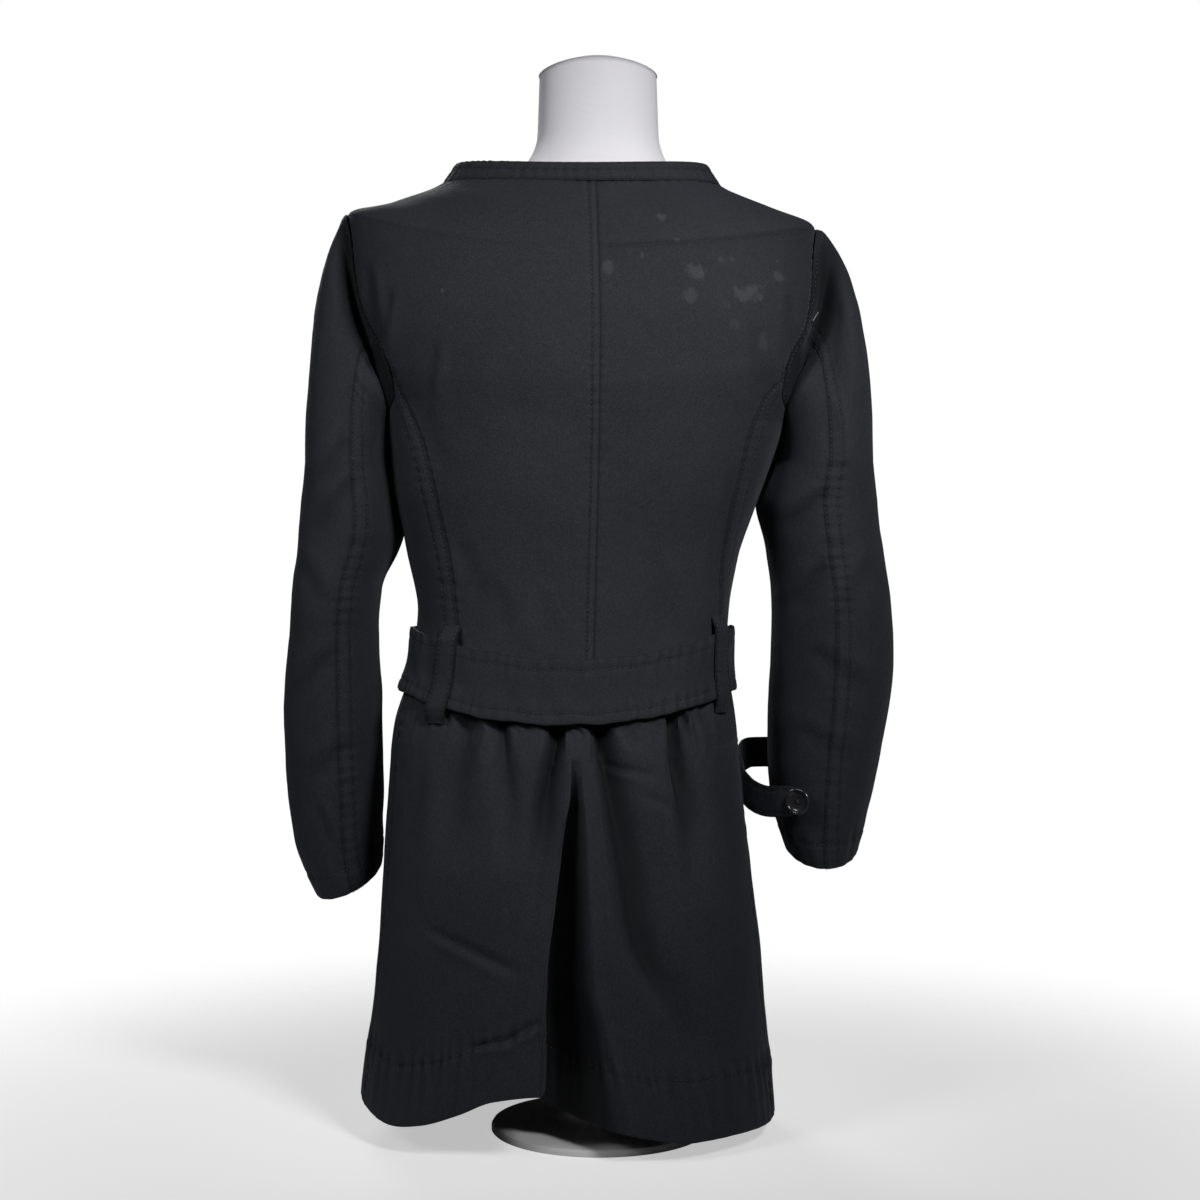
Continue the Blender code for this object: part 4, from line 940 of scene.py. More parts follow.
class Value:
    """A socket of a node tree that Python's operators work on. Each operation adds its node."""

    def __init__(self, tree, socket=None):
        self.tree = tree
        self.socket = socket

    def node(self, kind, settings=None, values=None, output=0):
        """Adds a node with its settings and its sockets' values or links. Returns one of its outputs."""
        made = self.tree.nodes.new(kind)
        for name, value in (settings or {}).items():
            setattr(made, name, value)
        for name, value in (values or {}).items():
            if isinstance(value, Value):
                self.tree.links.new(value.socket, made.inputs[name])
            else:
                made.inputs[name].default_value = value
        return Value(self.tree, made.outputs[output] if len(made.outputs) else None)

    def maths(self, operation, *values, clamp=False):
        sockets = dict(enumerate(values))
        return self.node("ShaderNodeMath", {"operation": operation, "use_clamp": clamp}, sockets)

    def __add__(self, other):
        return self.maths("ADD", self, other)

    def __radd__(self, other):
        return self.maths("ADD", other, self)

    def __sub__(self, other):
        return self.maths("SUBTRACT", self, other)

    def __rsub__(self, other):
        return self.maths("SUBTRACT", other, self)

    def __mul__(self, other):
        return self.maths("MULTIPLY", self, other)

    def __rmul__(self, other):
        return self.maths("MULTIPLY", other, self)

    def mapped(self, **values):
        return self.node("ShaderNodeMapping", None, {"Vector": self, **values})

    def length(self):
        return self.node("ShaderNodeVectorMath", {"operation": "LENGTH"}, {0: self}, output="Value")

    def into(self, node, name):
        """Links this value to an input of a node."""
        self.tree.links.new(self.socket, node.inputs[name])

    def clamped(self):
        return self.maths("ADD", self, 0.0, clamp=True)

    def noise(self, scale, detail=2.0, roughness=0.5):
        values = {"Vector": self, "Scale": scale, "Detail": detail, "Roughness": roughness}
        return self.node("ShaderNodeTexNoise", {"noise_dimensions": "3D"}, values)

    def mixed(self, low, high):
        """A colour between two, by this value."""
        made = self.node("ShaderNodeMix", {"data_type": "RGBA"}, {"Factor": self}).socket.node
        for socket, value in (("A", low), ("B", high)):
            inputs = [s for s in made.inputs if s.name == socket and s.type == "RGBA"]
            if isinstance(value, Value):
                self.tree.links.new(value.socket, inputs[0])
            else:
                inputs[0].default_value = (*value, 1)
        return Value(self.tree, [s for s in made.outputs if s.type == "RGBA"][0])


def new_finish(name, roughness, **constants):
    """A material with its shader's constants set. Returns its first value, its shader and the place."""
    material = bpy.data.materials.new(name)
    material.use_nodes = True
    tree = material.node_tree
    shader = tree.nodes["Principled BSDF"]
    shader.inputs["Roughness"].default_value = roughness
    for socket, value in constants.items():
        shader.inputs[socket.replace("_", " ")].default_value = value
    FINISHES[name] = material
    start = Value(tree)
    return start, shader, start.node("ShaderNodeTexCoord", output="Object")


def on_flat_cloth(start):
    """The place on the flat cloth, in metres, and its two parts."""
    flat = start.node("ShaderNodeUVMap", {"uv_map": "metres"})
    parts = start.node("ShaderNodeSeparateXYZ", None, {0: flat}).socket.node
    return flat, Value(start.tree, parts.outputs["X"]), Value(start.tree, parts.outputs["Y"])


def scaled(colour, share):
    return tuple(c * share for c in colour)


def bumped(start, shader, height, distance):
    values = {"Height": height, "Distance": distance, "Strength": 1.0}
    start.node("ShaderNodeBump", None, values).into(shader, "Normal")


def marks_mask(start, place):
    """Pale marks: ellipses whose edges a fine noise breaks up."""
    ragged = place.noise(420, 3.0, 0.6)
    patchy = place.noise(110, 2.0, 0.5)
    total = None
    about_y = {"rotation_type": "Y_AXIS"}
    for mark in MARKS:
        turn = math.radians(mark.degrees)
        cos, sin = math.cos(turn), math.sin(turn)
        size = (1 / mark.half_x, 0, 1 / mark.half_z)
        middle = (mark.x * cos + mark.z * sin, 0, mark.z * cos - mark.x * sin)
        shift = tuple(-m * s for m, s in zip(middle, size))
        turned = start.node("ShaderNodeVectorRotate", about_y, {"Vector": place, "Angle": turn})
        radius = turned.mapped(Location=shift, Scale=size).length()
        toned = (1.15 - radius) * 1.5 + (patchy - 0.5) * 4.5 + (ragged - 0.5) * 1.6
        mask = toned.clamped() * (mark.strength * 0.75)
        total = mask if total is None else start.maths("MAXIMUM", total, mask)
    return total


def cloth_finish(name, tone=1.0, marked=False):
    """Plain-woven wool-like cloth: fine weave, slubs, slow mottling, painted shade in folds, creases and seam
    grooves, painted highlights on puckers and crease ridges, and raised seams paler from rubbing and a
    painted highlight.
    """
    shine = {"Sheen_Weight": 0.06, "Sheen_Roughness": 0.45, "Specular_IOR_Level": 0.20}
    start, shader, place = new_finish(name, 0.74, **shine)
    shader.inputs["Sheen Tint"].default_value = (0.80, 0.85, 1.0, 1)
    flat, u, v = on_flat_cloth(start)
    wear = start.node("ShaderNodeAttribute", {"attribute_name": "wear"}, output="Fac")
    thread = 2 * math.pi / WEAVE
    weave = start.maths("SINE", u * thread) * start.maths("SINE", v * thread)
    grain = place.noise(1050, 2.0, 0.65)
    nap = place.noise(620, 2.0, 0.6)
    slub = flat.mapped(Scale=(900.0, 160.0, 1.0)).noise(1.0, 2.0)
    blotch = place.noise(14, 3.0, 0.55)
    fine = (grain - 0.5) * 1.5 + (nap - 0.5) * 1.4 + (slub - 0.5) * 0.6
    # Random mottling and grain, plus the painted shade and highlights that the attribute carries
    tone_value = 0.42 + (blotch - 0.5) * 0.5 + fine + wear * 0.40
    dark = scaled(colours().shade, tone)
    colour = tone_value.clamped().mixed(dark, scaled(colours().cloth, tone))
    # Deep painted shade: where the attribute runs far below zero, the colour goes almost black.
    colour = (wear * -0.55 - 0.30).clamped().mixed(colour, scaled(dark, 0.22))
    if marked:
        colour = marks_mask(start, place).mixed(colour, colours().mark)
    colour.into(shader, "Base Color")
    rough = 0.68 + (blotch - 0.5) * 0.16 + (grain - 0.5) * 0.12
    rough.into(shader, "Roughness")
    bumped(start, shader, weave * 0.35 + grain * 0.9 + slub * 0.5, 0.00016)


def thread_finish():
    start, shader, place = new_finish("sewing_thread", 0.55, Sheen_Weight=0.15)
    fuzz = place.noise(2600, 2.0)
    colour = fuzz.mixed(scaled(colours().thread, 0.7), scaled(colours().thread, 1.3))
    colour.into(shader, "Base Color")
    bumped(start, shader, fuzz, 0.00008)


def lint_finish():
    start, shader, place = new_finish("pale_thread", 0.7)
    fuzz = place.noise(1800, 2.0)
    colour = fuzz.mixed((0.16, 0.16, 0.17), (0.34, 0.34, 0.36))
    colour.into(shader, "Base Color")


def button_finish():
    start, shader, place = new_finish("glossy_button", 0.18, Coat_Weight=0.5, Coat_Roughness=0.08)
    swirl = place.noise(160, 4.0, 0.6)
    colour = swirl.mixed(colours().button, scaled(colours().button, 2.4))
    colour.into(shader, "Base Color")
    rough = 0.14 + swirl * 0.14
    rough.into(shader, "Roughness")
    bumped(start, shader, swirl, 0.00006)


def jersey_finish():
    """Knitted cover: rows of small loops down the form."""
    start, shader, place = new_finish("form_jersey", 0.85, Sheen_Weight=0.25, Sheen_Roughness=0.5)
    _, u, v = on_flat_cloth(start)
    wale = start.maths("SINE", u * (2 * math.pi / WALE))
    course = start.maths("SINE", v * (2 * math.pi / COURSE) + wale * 1.2)
    blotch = place.noise(22, 2.0)
    fuzz = place.noise(1400, 2.0)
    base = colours().jersey
    tone = (0.5 + (blotch - 0.5) * 0.5 + (fuzz - 0.5) * 0.5).clamped()
    colour = tone.mixed(scaled(base, 0.93), [min(c * 1.04, 0.97) for c in base])
    colour.into(shader, "Base Color")
    bumped(start, shader, wale * 0.5 + course * 0.4 + fuzz * 0.6, 0.00012)


def stand_finish():
    start, shader, place = new_finish("painted_stand", 0.42, Specular_IOR_Level=0.5)
    peel = place.noise(240, 3.0)
    dust = place.noise(30, 3.0)
    base = colours().stand
    colour = dust.mixed(scaled(base, 0.94), [min(c * 1.04, 0.92) for c in base])
    colour.into(shader, "Base Color")
    rough = 0.34 + dust * 0.16
    rough.into(shader, "Roughness")
    bumped(start, shader, peel, 0.00006)


def stage_finish():
    """Pale floor that fades into the white room round it."""
    start, shader, place = new_finish("stage_floor", 0.9, Specular_IOR_Level=0.1, Emission_Strength=0.50)
    glow = start.node("ShaderNodeLightPath", output="Is Camera Ray").mixed((0, 0, 0), (1, 1, 1))
    glow.into(shader, "Emission Color")
    cloud = place.noise(0.8, 2.0)
    colour = cloud.mixed((0.62, 0.62, 0.62), (0.66, 0.66, 0.66))
    colour.into(shader, "Base Color")
    smooth = {"interpolation_type": "SMOOTHSTEP"}
    fade = start.node("ShaderNodeMapRange", smooth, {0: place.length(), 1: FADE_FROM, 2: FADE_TO})
    clear = start.node("ShaderNodeBsdfTransparent")
    solid = Value(start.tree, shader.outputs["BSDF"])
    mixed = start.node("ShaderNodeMixShader", None, {0: fade, 1: solid, 2: clear})
    mixed.into(start.tree.nodes["Material Output"], "Surface")


# ---------------------------------------------------------------- body pieces

class Piece:
    """What every operator of the coat shares."""
    bl_options = {"REGISTER", "UNDO"}


class COAT_OT_finishes(Piece, bpy.types.Operator):
    """Make the procedural materials."""
    bl_idname = "coat.finishes"
    bl_label = "Finishes"

    def execute(self, context):
        cloth_finish("coat_cloth")
        cloth_finish("coat_cloth_marked", marked=True)
        cloth_finish("coat_cloth_belt", tone=0.88)
        for make in (thread_finish, lint_finish, button_finish, jersey_finish, stand_finish, stage_finish):
            make()
        return {"FINISHED"}


class COAT_OT_backs(Piece, bpy.types.Operator):
    """Cut the two backs and the two side backs, with the centre and princess seams."""
    bl_idname = "coat.backs"
    bl_label = "Backs"

    def execute(self, context):
        top_row = armhole_row(PRINCESS_SHARE)
        above = BAND_ROW + (top_row - 0.004 - BAND_ROW) * np.linspace(0, 1, 96)
        below = top_row + (WAIST_ROW - top_row) * np.linspace(0, 1, 104)
        rows = np.concatenate([above, below])
        middle = seam_angle(CENTRE_SEAM, rows)
        for side in ("left", "right"):
            outer = np.where(rows < top_row - 1e-6, side_edge("back", rows), princess_edge(side, rows))
            outer = to_side(outer, side)
            angles = between(*in_order(side, middle, outer), 108)
            cloth = Cloth("cloth_back_" + side, coat(angles, rows[:, None]), 11)
            inner_edge, outer_edge = in_order(side, "first", "last")
            cloth.roll(inner_edge, outer_edge, "top")
            if side == "left":
                cloth.stitched(inner_edge, TOPSTITCH, "body", raised=SEAM_RISE, puckered=0.35)
            else:
                cloth.puckers(inner_edge, 0.002, reach=0.004, strength=0.35)
            cloth.puckers(outer_edge, 0.002, reach=0.005, strength=0.5, seed=4)
            share = (len(above) + 2) / len(rows)
            cloth.stitched(outer_edge, EDGE_ROW, "body", puckered=0.5, seed=9, stop=share)
            cloth.puckers("top", 0.003, reach=0.010, strength=0.8, period=0.012, seed=6)
            cloth.creased()
            cloth.build("coat_cloth_marked", "back_" + side)
            self.side_back(side, below)
        return {"FINISHED"}

    def side_back(self, side, rows):
        inner = to_side(princess_edge(side, rows), side)
        outer = to_side(side_edge("back", rows), side)
        angles = between(*in_order(side, inner, outer), 44)
        cloth = Cloth("cloth_side_back_" + side, coat(angles, rows[:, None]), 11)
        inner_edge, outer_edge = in_order(side, "first", "last")
        cloth.roll(inner_edge, outer_edge, "top")
        cloth.stitched(inner_edge, EDGE_ROW, "body", puckered=0.35, seed=4)
        cloth.stitched(inner_edge, SECOND_ROW, "body", raised=SEAM_RISE, puckered=0.7, seed=4, start=0.14)
        cloth.creased()
        cloth.build("coat_cloth", "side_back_" + side)


def front_edge(side, rows):
    """The angle of a front's free edge: past the middle by the lap."""
    ring = ring_at(COAT_RINGS, rows)
    turn = LAP / ((ring.x_left - ring.x_right) / 2)
    return -np.pi / 2 + (turn if side == "right" else -turn)


def lap_lift(angle, row, side):
    """How far the right front stands out over the left one near the middle."""
    if side == "left":
        return np.zeros(np.broadcast(angle, row).shape)
    ring = ring_at(COAT_RINGS, row)
    past = (angle + np.pi / 2) * (ring.x_left - ring.x_right) / 2
    return LAP_LIFT * smooth_step(-LAP - LAP_RAMP, -LAP - 0.004, past)


def lifted(angles, rows, lift):
    """Points of the coat, moved out by the lift."""
    rows = np.broadcast_to(rows[:, None], angles.shape)
    return coat(angles, rows) + outward(angles, rows) * lift[..., None]


def front_panel(node, side, rows, outer, columns):
    edge = front_edge(side, rows)
    outer = outer if side == "left" else outer - 2 * np.pi
    angles = between(*in_order(side, outer, edge), columns)
    cloth = Cloth("cloth_" + node, lifted(angles, rows, lap_lift(angles, rows[:, None], side)), 23)
    side_seam, free_edge = in_order(side, "first", "last")
    cloth.roll(side_seam, "top", "bottom")
    cloth.roll(free_edge, depth=SHARP_ROLL)
    cloth.stitched(free_edge, FRONT_EDGE_ROW, "front", raised=EDGE_RISE, puckered=0.6)
    cloth.puckers(side_seam, 0.003, strength=0.9, seed=4)
    cloth.creased()
    if node.startswith("skirt"):
        turn_up(cloth, HEM_DEPTH, "front")
    cloth.build("coat_cloth", node)


def turn_up(cloth, depth, key, strength=1.0):
    """The doubled cloth above a raw edge, sewn down along its top."""
    far = cloth.distance("bottom")
    cloth.push += HEM_RISE * smooth_step(depth + 0.001, depth - 0.002, far)
    cloth.push -= SHARP_ROLL * hump(far, 0, 0.0012)
    cloth.thick += sizes().cloth * 0.8 * smooth_step(depth, depth - 0.004, far)
    cloth.stitched("bottom", depth, key, puckered=0)
    cloth.puckers("bottom", depth, reach=0.011, strength=2.0 * strength, period=0.012, seed=8)
    cloth.puckers("bottom", depth / 2, reach=0.024, strength=1.1 * strength, period=0.017, seed=12)


class COAT_OT_fronts(Piece, bpy.types.Operator):
    """Cut the two fronts above the waist, the right one lapped over the left."""
    bl_idname = "coat.fronts"
    bl_label = "Fronts"

    def execute(self, context):
        rows = BAND_ROW + (WAIST_ROW - BAND_ROW) * spread(128, 0.35)
        for side in ("left", "right"):
            outer = -side_edge("front", rows)
            outer = outer if side == "left" else np.pi - outer
            front_panel("front_" + side, side, rows, outer, 68)
        return {"FINISHED"}


class COAT_OT_neck_band(Piece, bpy.types.Operator):
    """Sew the narrow band round the neckline."""
    bl_idname = "coat.neck_band"
    bl_label = "Neck band"

    def execute(self, context):
        rows = BAND_ROW * np.linspace(0, 1, 14)
        start = 2 * np.pi + front_edge("right", rows)
        end = front_edge("left", rows)
        angles = start[:, None] + (end - start)[:, None] * np.linspace(0, 1, 400)
        lift = np.where(angles > np.pi, lap_lift(angles - 2 * np.pi, rows[:, None], "right"), 0)
        cloth = Cloth("cloth_neck_band", lifted(angles, rows, lift), 31)
        cloth.roll("bottom")
        cloth.roll("top", depth=SOFT_ROLL)
        cloth.stitched("top", BAND_ROW_HIGH, "body", puckered=0)
        cloth.stitched("bottom", EDGE_ROW, "body", puckered=0)
        gathers = ripple(cloth.across, 0.0065, 41) * hump(cloth.points[..., 0], 0.094, 0.022)
        cloth.push += 0.0007 * gathers * (cloth.points[..., 1] > 0)
        cloth.puckers("bottom", 0.008, reach=0.010, strength=0.7)
        cloth.build("coat_cloth", "neck_band")
        return {"FINISHED"}


class COAT_OT_skirt(Piece, bpy.types.Operator):
    """Hang the gathered skirt: its back with the deep centre fold, and its two fronts."""
    bl_idname = "coat.skirt"
    bl_label = "Skirt"

    def execute(self, context):
        rows = WAIST_ROW + (HEM_ROW - WAIST_ROW) * spread(170, 0.45)
        left = seam_angle(SKIRT_SIDE["left"], rows)
        right = seam_angle(SKIRT_SIDE["right"], rows)
        angles = self.columns(rows, left, right)
        cloth = Cloth("cloth_skirt_back", coat(angles, rows[:, None]), 17)
        flat = coat(angles, rows[:, None], False)
        # Painted shade, deepest where the folds and the centre pleat push the skirt in
        cloth.paint_fold_shade(fold_depth(flat[..., 0], flat[..., 2]) / FOLD_SHADE)
        for edge in ("first", "last"):
            cloth.roll(edge)
            cloth.puckers(edge, 0.003, strength=0.9)
        cloth.creased()
        gathers = ripple(cloth.across, 0.016, 19) + 0.6 * ripple(cloth.across, 0.009, 21)
        cloth.push += 0.0013 * gathers * hump(cloth.down, 0.030, 0.034)
        turn_up(cloth, HEM_DEPTH, "skirt")
        cloth.build("coat_cloth_marked", "skirt_back")
        rows = WAIST_ROW + (HEM_ROW - WAIST_ROW) * spread(100, 0.5)
        for side in ("left", "right"):
            outer = seam_angle(SKIRT_SIDE[side], rows)
            front_panel("skirt_front_" + side, side, rows, outer, 78)
        return {"FINISHED"}

    @staticmethod
    def columns(rows, left, right):
        """Columns that crowd together across the centre fold, where the cloth runs deep."""
        height = coat(np.full(len(rows), np.pi / 2), rows)[:, 2]
        edge, end, _ = pleat_at(height)
        inner = [angle_at(edge + (end - edge) * share, rows) for share in (1.1, 0.16, -0.10)]
        stops = [right] + inner + [left]
        angles = [
            a[:, None] + (b - a)[:, None] * np.linspace(0, 1, count, endpoint=False)
            for a, b, count in zip(stops, stops[1:], (88, 34, 46, 88))
        ]
        return np.concatenate(angles + [left[:, None]], axis=1)


# ---------------------------------------------------------------- belt, loops and straps

class COAT_OT_belt(Piece, bpy.types.Operator):
    """Wrap the stitched belt round the waist and set its two loops."""
    bl_idname = "coat.belt"
    bl_label = "Belt and loops"

    def execute(self, context):
        half = BELT_WIDTH / 2
        start = 1.5 * np.pi + BELT_TURN / 2
        end = -np.pi / 2 - BELT_TURN / 2
        angles = np.linspace(start, end, 420)
        middle = coat(angles, WAIST_ROW)[:, 2]
        lap = start - BELT_TURN
        lift = BELT_OUT + BELT_LAP_LIFT * smooth_step(lap - 0.35, lap - 0.05, angles)
        rises = half - BELT_WIDTH * spread(26, 0.5)
        rows = row_at_height(angles[None, :], middle[None, :] + rises[:, None])
        wide = np.broadcast_to(angles, rows.shape)
        points = coat(wide, rows, False) + outward(wide, rows) * lift[:, None]
        cloth = Cloth("cloth_belt", points, 37)
        cloth.thick[:] = BELT_CLOTH
        # The long edges wave a little up and down, and the stitch rows pull the cloth into ripples.
        swing = 0.0011 * ripple(cloth.across, 0.055, 43) + 0.0005 * ripple(cloth.across, 0.021, 44)
        cloth.points[..., 2] += swing * np.where(rises[:, None] > 0, 1.0, 0.8)
        for edge in ("top", "bottom"):
            cloth.roll(edge, depth=SOFT_ROLL)
            cloth.stitched(edge, BELT_STITCH, "belt", puckered=0)
            cloth.puckers(edge, BELT_STITCH * 0.7, reach=0.009, strength=1.3, period=0.011, seed=3)
        cloth.push += 0.0007 * ripple(cloth.across, 0.032, 45) * hump(cloth.down, half, 0.018)
        cloth.push += 0.0006 * lattice(cloth.points, 0.030, 5)
        backs = ("cloth_back_left", "cloth_back_right")
        cloth.build("coat_cloth_belt", "belt", held="stretched", rests_on=backs)
        for side, x in LOOP_AT.items():
            self.loop(side, x)
        return {"FINISHED"}

    def loop(self, side, x):
        """A narrow strip standing over the belt, sewn down above and below it."""
        high = BELT_WIDTH / 2
        upper = [(LOOP_HEIGHT / 2, LOOP_END), (high + 0.004, LOOP_OUT - 0.001), (high - 0.002, LOOP_OUT)]
        profile = upper + [(0, LOOP_OUT)] + [(-rise, out) for rise, out in reversed(upper)]
        index = np.arange(len(profile))
        fine = np.linspace(0, index[-1], 60)
        rise, out = (through(index, values, fine) for values in zip(*profile))
        middle = angle_at(x, WAIST_ROW)
        height = coat(middle, WAIST_ROW)[2]
        small = 0.01
        reach = np.linalg.norm(coat(middle + small, WAIST_ROW) - coat(middle, WAIST_ROW)) / small
        angles = middle + np.linspace(1, -1, 16)[None, :] * LOOP_WIDTH / 2 / reach + np.zeros((60, 1))
        rows = row_at_height(angles, height + rise[:, None])
        points = coat(angles, rows, False) + outward(angles, rows) * out[:, None, None]
        cloth = Cloth("cloth_belt_loop_" + side, points, 53)
        cloth.roll("first", "last", depth=SHARP_ROLL)
        for edge in ("first", "last"):
            cloth.stitched(edge, EDGE_ROW, "belt", puckered=0.4)
        cloth.push += 0.0004 * lattice(cloth.points, 0.018, 5)
        cloth.build("coat_cloth_belt", "belt_loop_" + side, rests_on=("cloth_belt",))


class COAT_OT_straps(Piece, bpy.types.Operator):
    """Make the buttoned straps of the two cuffs."""
    bl_idname = "coat.straps"
    bl_label = "Cuff straps"

    def execute(self, context):
        index = np.arange(len(RIGHT_STRAP))
        fine = np.linspace(0, index[-1], 150)
        line = np.stack([through(index, column(RIGHT_STRAP, name), fine) for name in "xyz"], axis=-1)
        half = through(index, column(RIGHT_STRAP, "half_width"), fine) * STRAP_WIDTH / 2
        along = np.gradient(line, axis=0)
        up = unit(np.cross(np.cross(along, (0, 0, 1)), along))
        rise = 1 - 2 * spread(16, 0.5)
        points = line[None] + up[None] * half[None, :, None] * rise[:, None, None]
        self.strap("right", points[:, ::-1])
        turns = np.radians(np.linspace(*LEFT_STRAP_TURNS, 90))
        points = sleeve("left", turns[None, :], np.full((16, 1), LEFT_STRAP_ROW))
        centre = (sleeve("left", 0, LEFT_STRAP_ROW) + sleeve("left", np.pi, LEFT_STRAP_ROW)) / 2
        away = points - centre
        away[..., 2] = 0
        points = points + unit(away) * STRAP_OUT
        points[..., 2] += (rise * STRAP_WIDTH / 2)[:, None]
        self.strap("left", points)
        return {"FINISHED"}

    def strap(self, side, points):
        cloth = Cloth("cloth_cuff_strap_" + side, points, 59)
        cloth.thick[:] = BELT_CLOTH
        for edge in ("top", "bottom"):
            cloth.roll(edge, depth=SOFT_ROLL)
            cloth.stitched(edge, STRAP_ROW, "sleeves", puckered=0.5)
        cloth.push += 0.0005 * lattice(cloth.points, 0.020, 5)
        cloth.build("coat_cloth", "cuff_strap_" + side, rests_on=("cloth_sleeve_upper_" + side,))


# ---------------------------------------------------------------- sleeves

class COAT_OT_sleeves(Piece, bpy.types.Operator):
    """Set the sleeves, each cut as an upper and an under piece."""
    bl_idname = "coat.sleeves"
    bl_label = "Sleeves"

    def execute(self, context):
        tube = np.linspace(0, len(SLEEVES["left"]) - 1, 118)
        rows = np.concatenate([np.linspace(-1, 0, 60, endpoint=False), tube])
        for side in ("left", "right"):
            under = BACK_SEAM_TURN + (FRONT_SEAM_TURN - BACK_SEAM_TURN) * spread(60)
            upper = FRONT_SEAM_TURN + (2 * np.pi + BACK_SEAM_TURN - FRONT_SEAM_TURN) * spread(92)
            self.piece(side, "under", under, rows)
            self.piece(side, "upper", upper, rows)
        return {"FINISHED"}

    def piece(self, side, part, turns, rows):
        is_left = side == "left"
        turns = turns[::-1] if is_left else turns
        cloth = Cloth(f"cloth_sleeve_{part}_{side}", sleeve(side, turns[None, :], rows[:, None]), 61)
        # Painted shade in the fold beside the armhole, on the sleeve's back half
        deep = hump(rows + 1, *ARM_SHADE[side])[:, None]
        cloth.paint_fold_shade(deep * np.clip(np.sin(turns), 0, 1)[None, :])
        is_top = (1 + np.cos(turns)) / 2
        cloth.push += SLEEVE_HEAD * hump(rows + 1, 0.04, 0.14)[:, None] * is_top[None, :] ** 3
        # The back seam is the under piece's low-turn edge and the upper piece's high-turn edge.
        is_topstitched = (part == "under") == is_left
        back_edge, front_seam = ("last", "first") if is_topstitched else ("first", "last")
        cloth.roll("first", "last", "top")
        cloth.puckers(back_edge, 0.002, reach=0.005, strength=0.6, seed=2)
        if is_topstitched:
            cloth.stitched(back_edge, SECOND_ROW, "sleeves", raised=SEAM_RISE, puckered=0.9, seed=2)
            cloth.stitched(back_edge, EDGE_ROW, "sleeves", puckered=0.5, seed=2)
        cloth.puckers(front_seam, 0.003, strength=0.9, seed=5)
        cloth.stitched("top", ARMHOLE_ROW_AT, "sleeves", puckered=0.9, seed=6)
        cloth.creased()
        turn_up(cloth, CUFF_DEPTH, "sleeves", 0.7)
        cloth.build("coat_cloth", f"sleeve_{part}_{side}")


# ---------------------------------------------------------------- stitching

def stitch_tree():
    """Short thread bars along each line, laid flat on the cloth."""
    tree = bpy.data.node_groups.new("stitch_rows", "GeometryNodeTree")
    face = tree.interface
    face.new_socket("Geometry", in_out="INPUT", socket_type="NodeSocketGeometry")
    for name in ("Stitch Length", "Pitch", "Thread Radius"):
        face.new_socket(name, in_out="INPUT", socket_type="NodeSocketFloat")
    face.new_socket("Thread", in_out="INPUT", socket_type="NodeSocketMaterial")
    face.new_socket("Geometry", in_out="OUTPUT", socket_type="NodeSocketGeometry")
    start = Value(tree)
    given = start.node("NodeGroupInput").socket.node
    source, length, pitch, radius, thread = (Value(tree, given.outputs[i]) for i in range(5))
    lines = start.node("GeometryNodeMeshToCurve", None, {"Mesh": source})
    rows = start.node("GeometryNodeResampleCurve", {"mode": "LENGTH"}, {"Curve": lines, "Length": pitch})
    bar = start.node("GeometryNodeMeshUVSphere", None, {"Segments": 6, "Rings": 4, "Radius": 0.5})
    tangent = start.node("GeometryNodeInputTangent")
    facing = start.node("GeometryNodeInputNamedAttribute", {"data_type": "FLOAT_VECTOR"}, {"Name": "facing"})
    turned = start.node("FunctionNodeAlignRotationToVector", {"axis": "X"}, {"Vector": tangent})
    turned = start.node(
        "FunctionNodeAlignRotationToVector", {"axis": "Z", "pivot_axis": "X"},
        {"Rotation": turned, "Vector": facing},
    )
    span = {"Min": 0.85, "Max": 1.15, "Seed": 5}
    jitter = start.node("FunctionNodeRandomValue", {"data_type": "FLOAT"}, span, 1)
    wide = radius * 2.0
    scale = start.node("ShaderNodeCombineXYZ", None, {0: length * jitter, 1: wide, 2: wide})
    placed = start.node(
        "GeometryNodeInstanceOnPoints", None,
        {"Points": rows, "Instance": bar, "Rotation": turned, "Scale": scale},
    )
    real = start.node("GeometryNodeRealizeInstances", None, {"Geometry": placed})
    smooth = start.node("GeometryNodeSetShadeSmooth", None, {"Geometry": real})
    painted = start.node("GeometryNodeSetMaterial", None, {"Geometry": smooth, "Material": thread})
    start.node("NodeGroupOutput", None, {"Geometry": painted})
    return tree


class COAT_OT_stitching(Piece, bpy.types.Operator):
    """Lay the thread of every stitch row."""
    bl_idname = "coat.stitching"
    bl_label = "Stitching"

    def execute(self, context):
        tree = stitch_tree()
        for key, rows in SEAM_ROWS.items():
            self.sew("stitching_" + key, tree, rows)
        return {"FINISHED"}

    def sew(self, name, tree, rows):
        points, facing, edges = [], [], []
        for cloth, edge, at, start, stop in rows:
            line, out = cloth.row_line(edge, at, start, stop)
            first = sum(len(p) for p in points)
            points.append(line + out * sizes().thread * 0.35)
            facing.append(out)
            edges += [(first + i, first + i + 1) for i in range(len(line) - 1)]
        mesh = bpy.data.meshes.new(name + "_lines")
        mesh.from_pydata(np.concatenate(points).tolist(), edges, [])
        layer = mesh.attributes.new("facing", "FLOAT_VECTOR", "POINT")
        layer.data.foreach_set("vector", np.concatenate(facing).astype(np.float32).ravel())
        guide = placed(name + "_lines", mesh)
        modifier = guide.modifiers.new("Stitches", "NODES")
        modifier.node_group = tree
        given = {
            "Stitch Length": sizes().stitch, "Pitch": sizes().pitch, "Thread Radius": sizes().thread,
            "Thread": FINISHES["sewing_thread"],
        }
        for item in tree.interface.items_tree:
            if item.item_type == "SOCKET" and item.in_out == "INPUT" and item.name in given:
                modifier[item.identifier] = given[item.name]
        made = plain_copy(guide, name)
        finished(made, "sewing_thread", "coat_cloth")


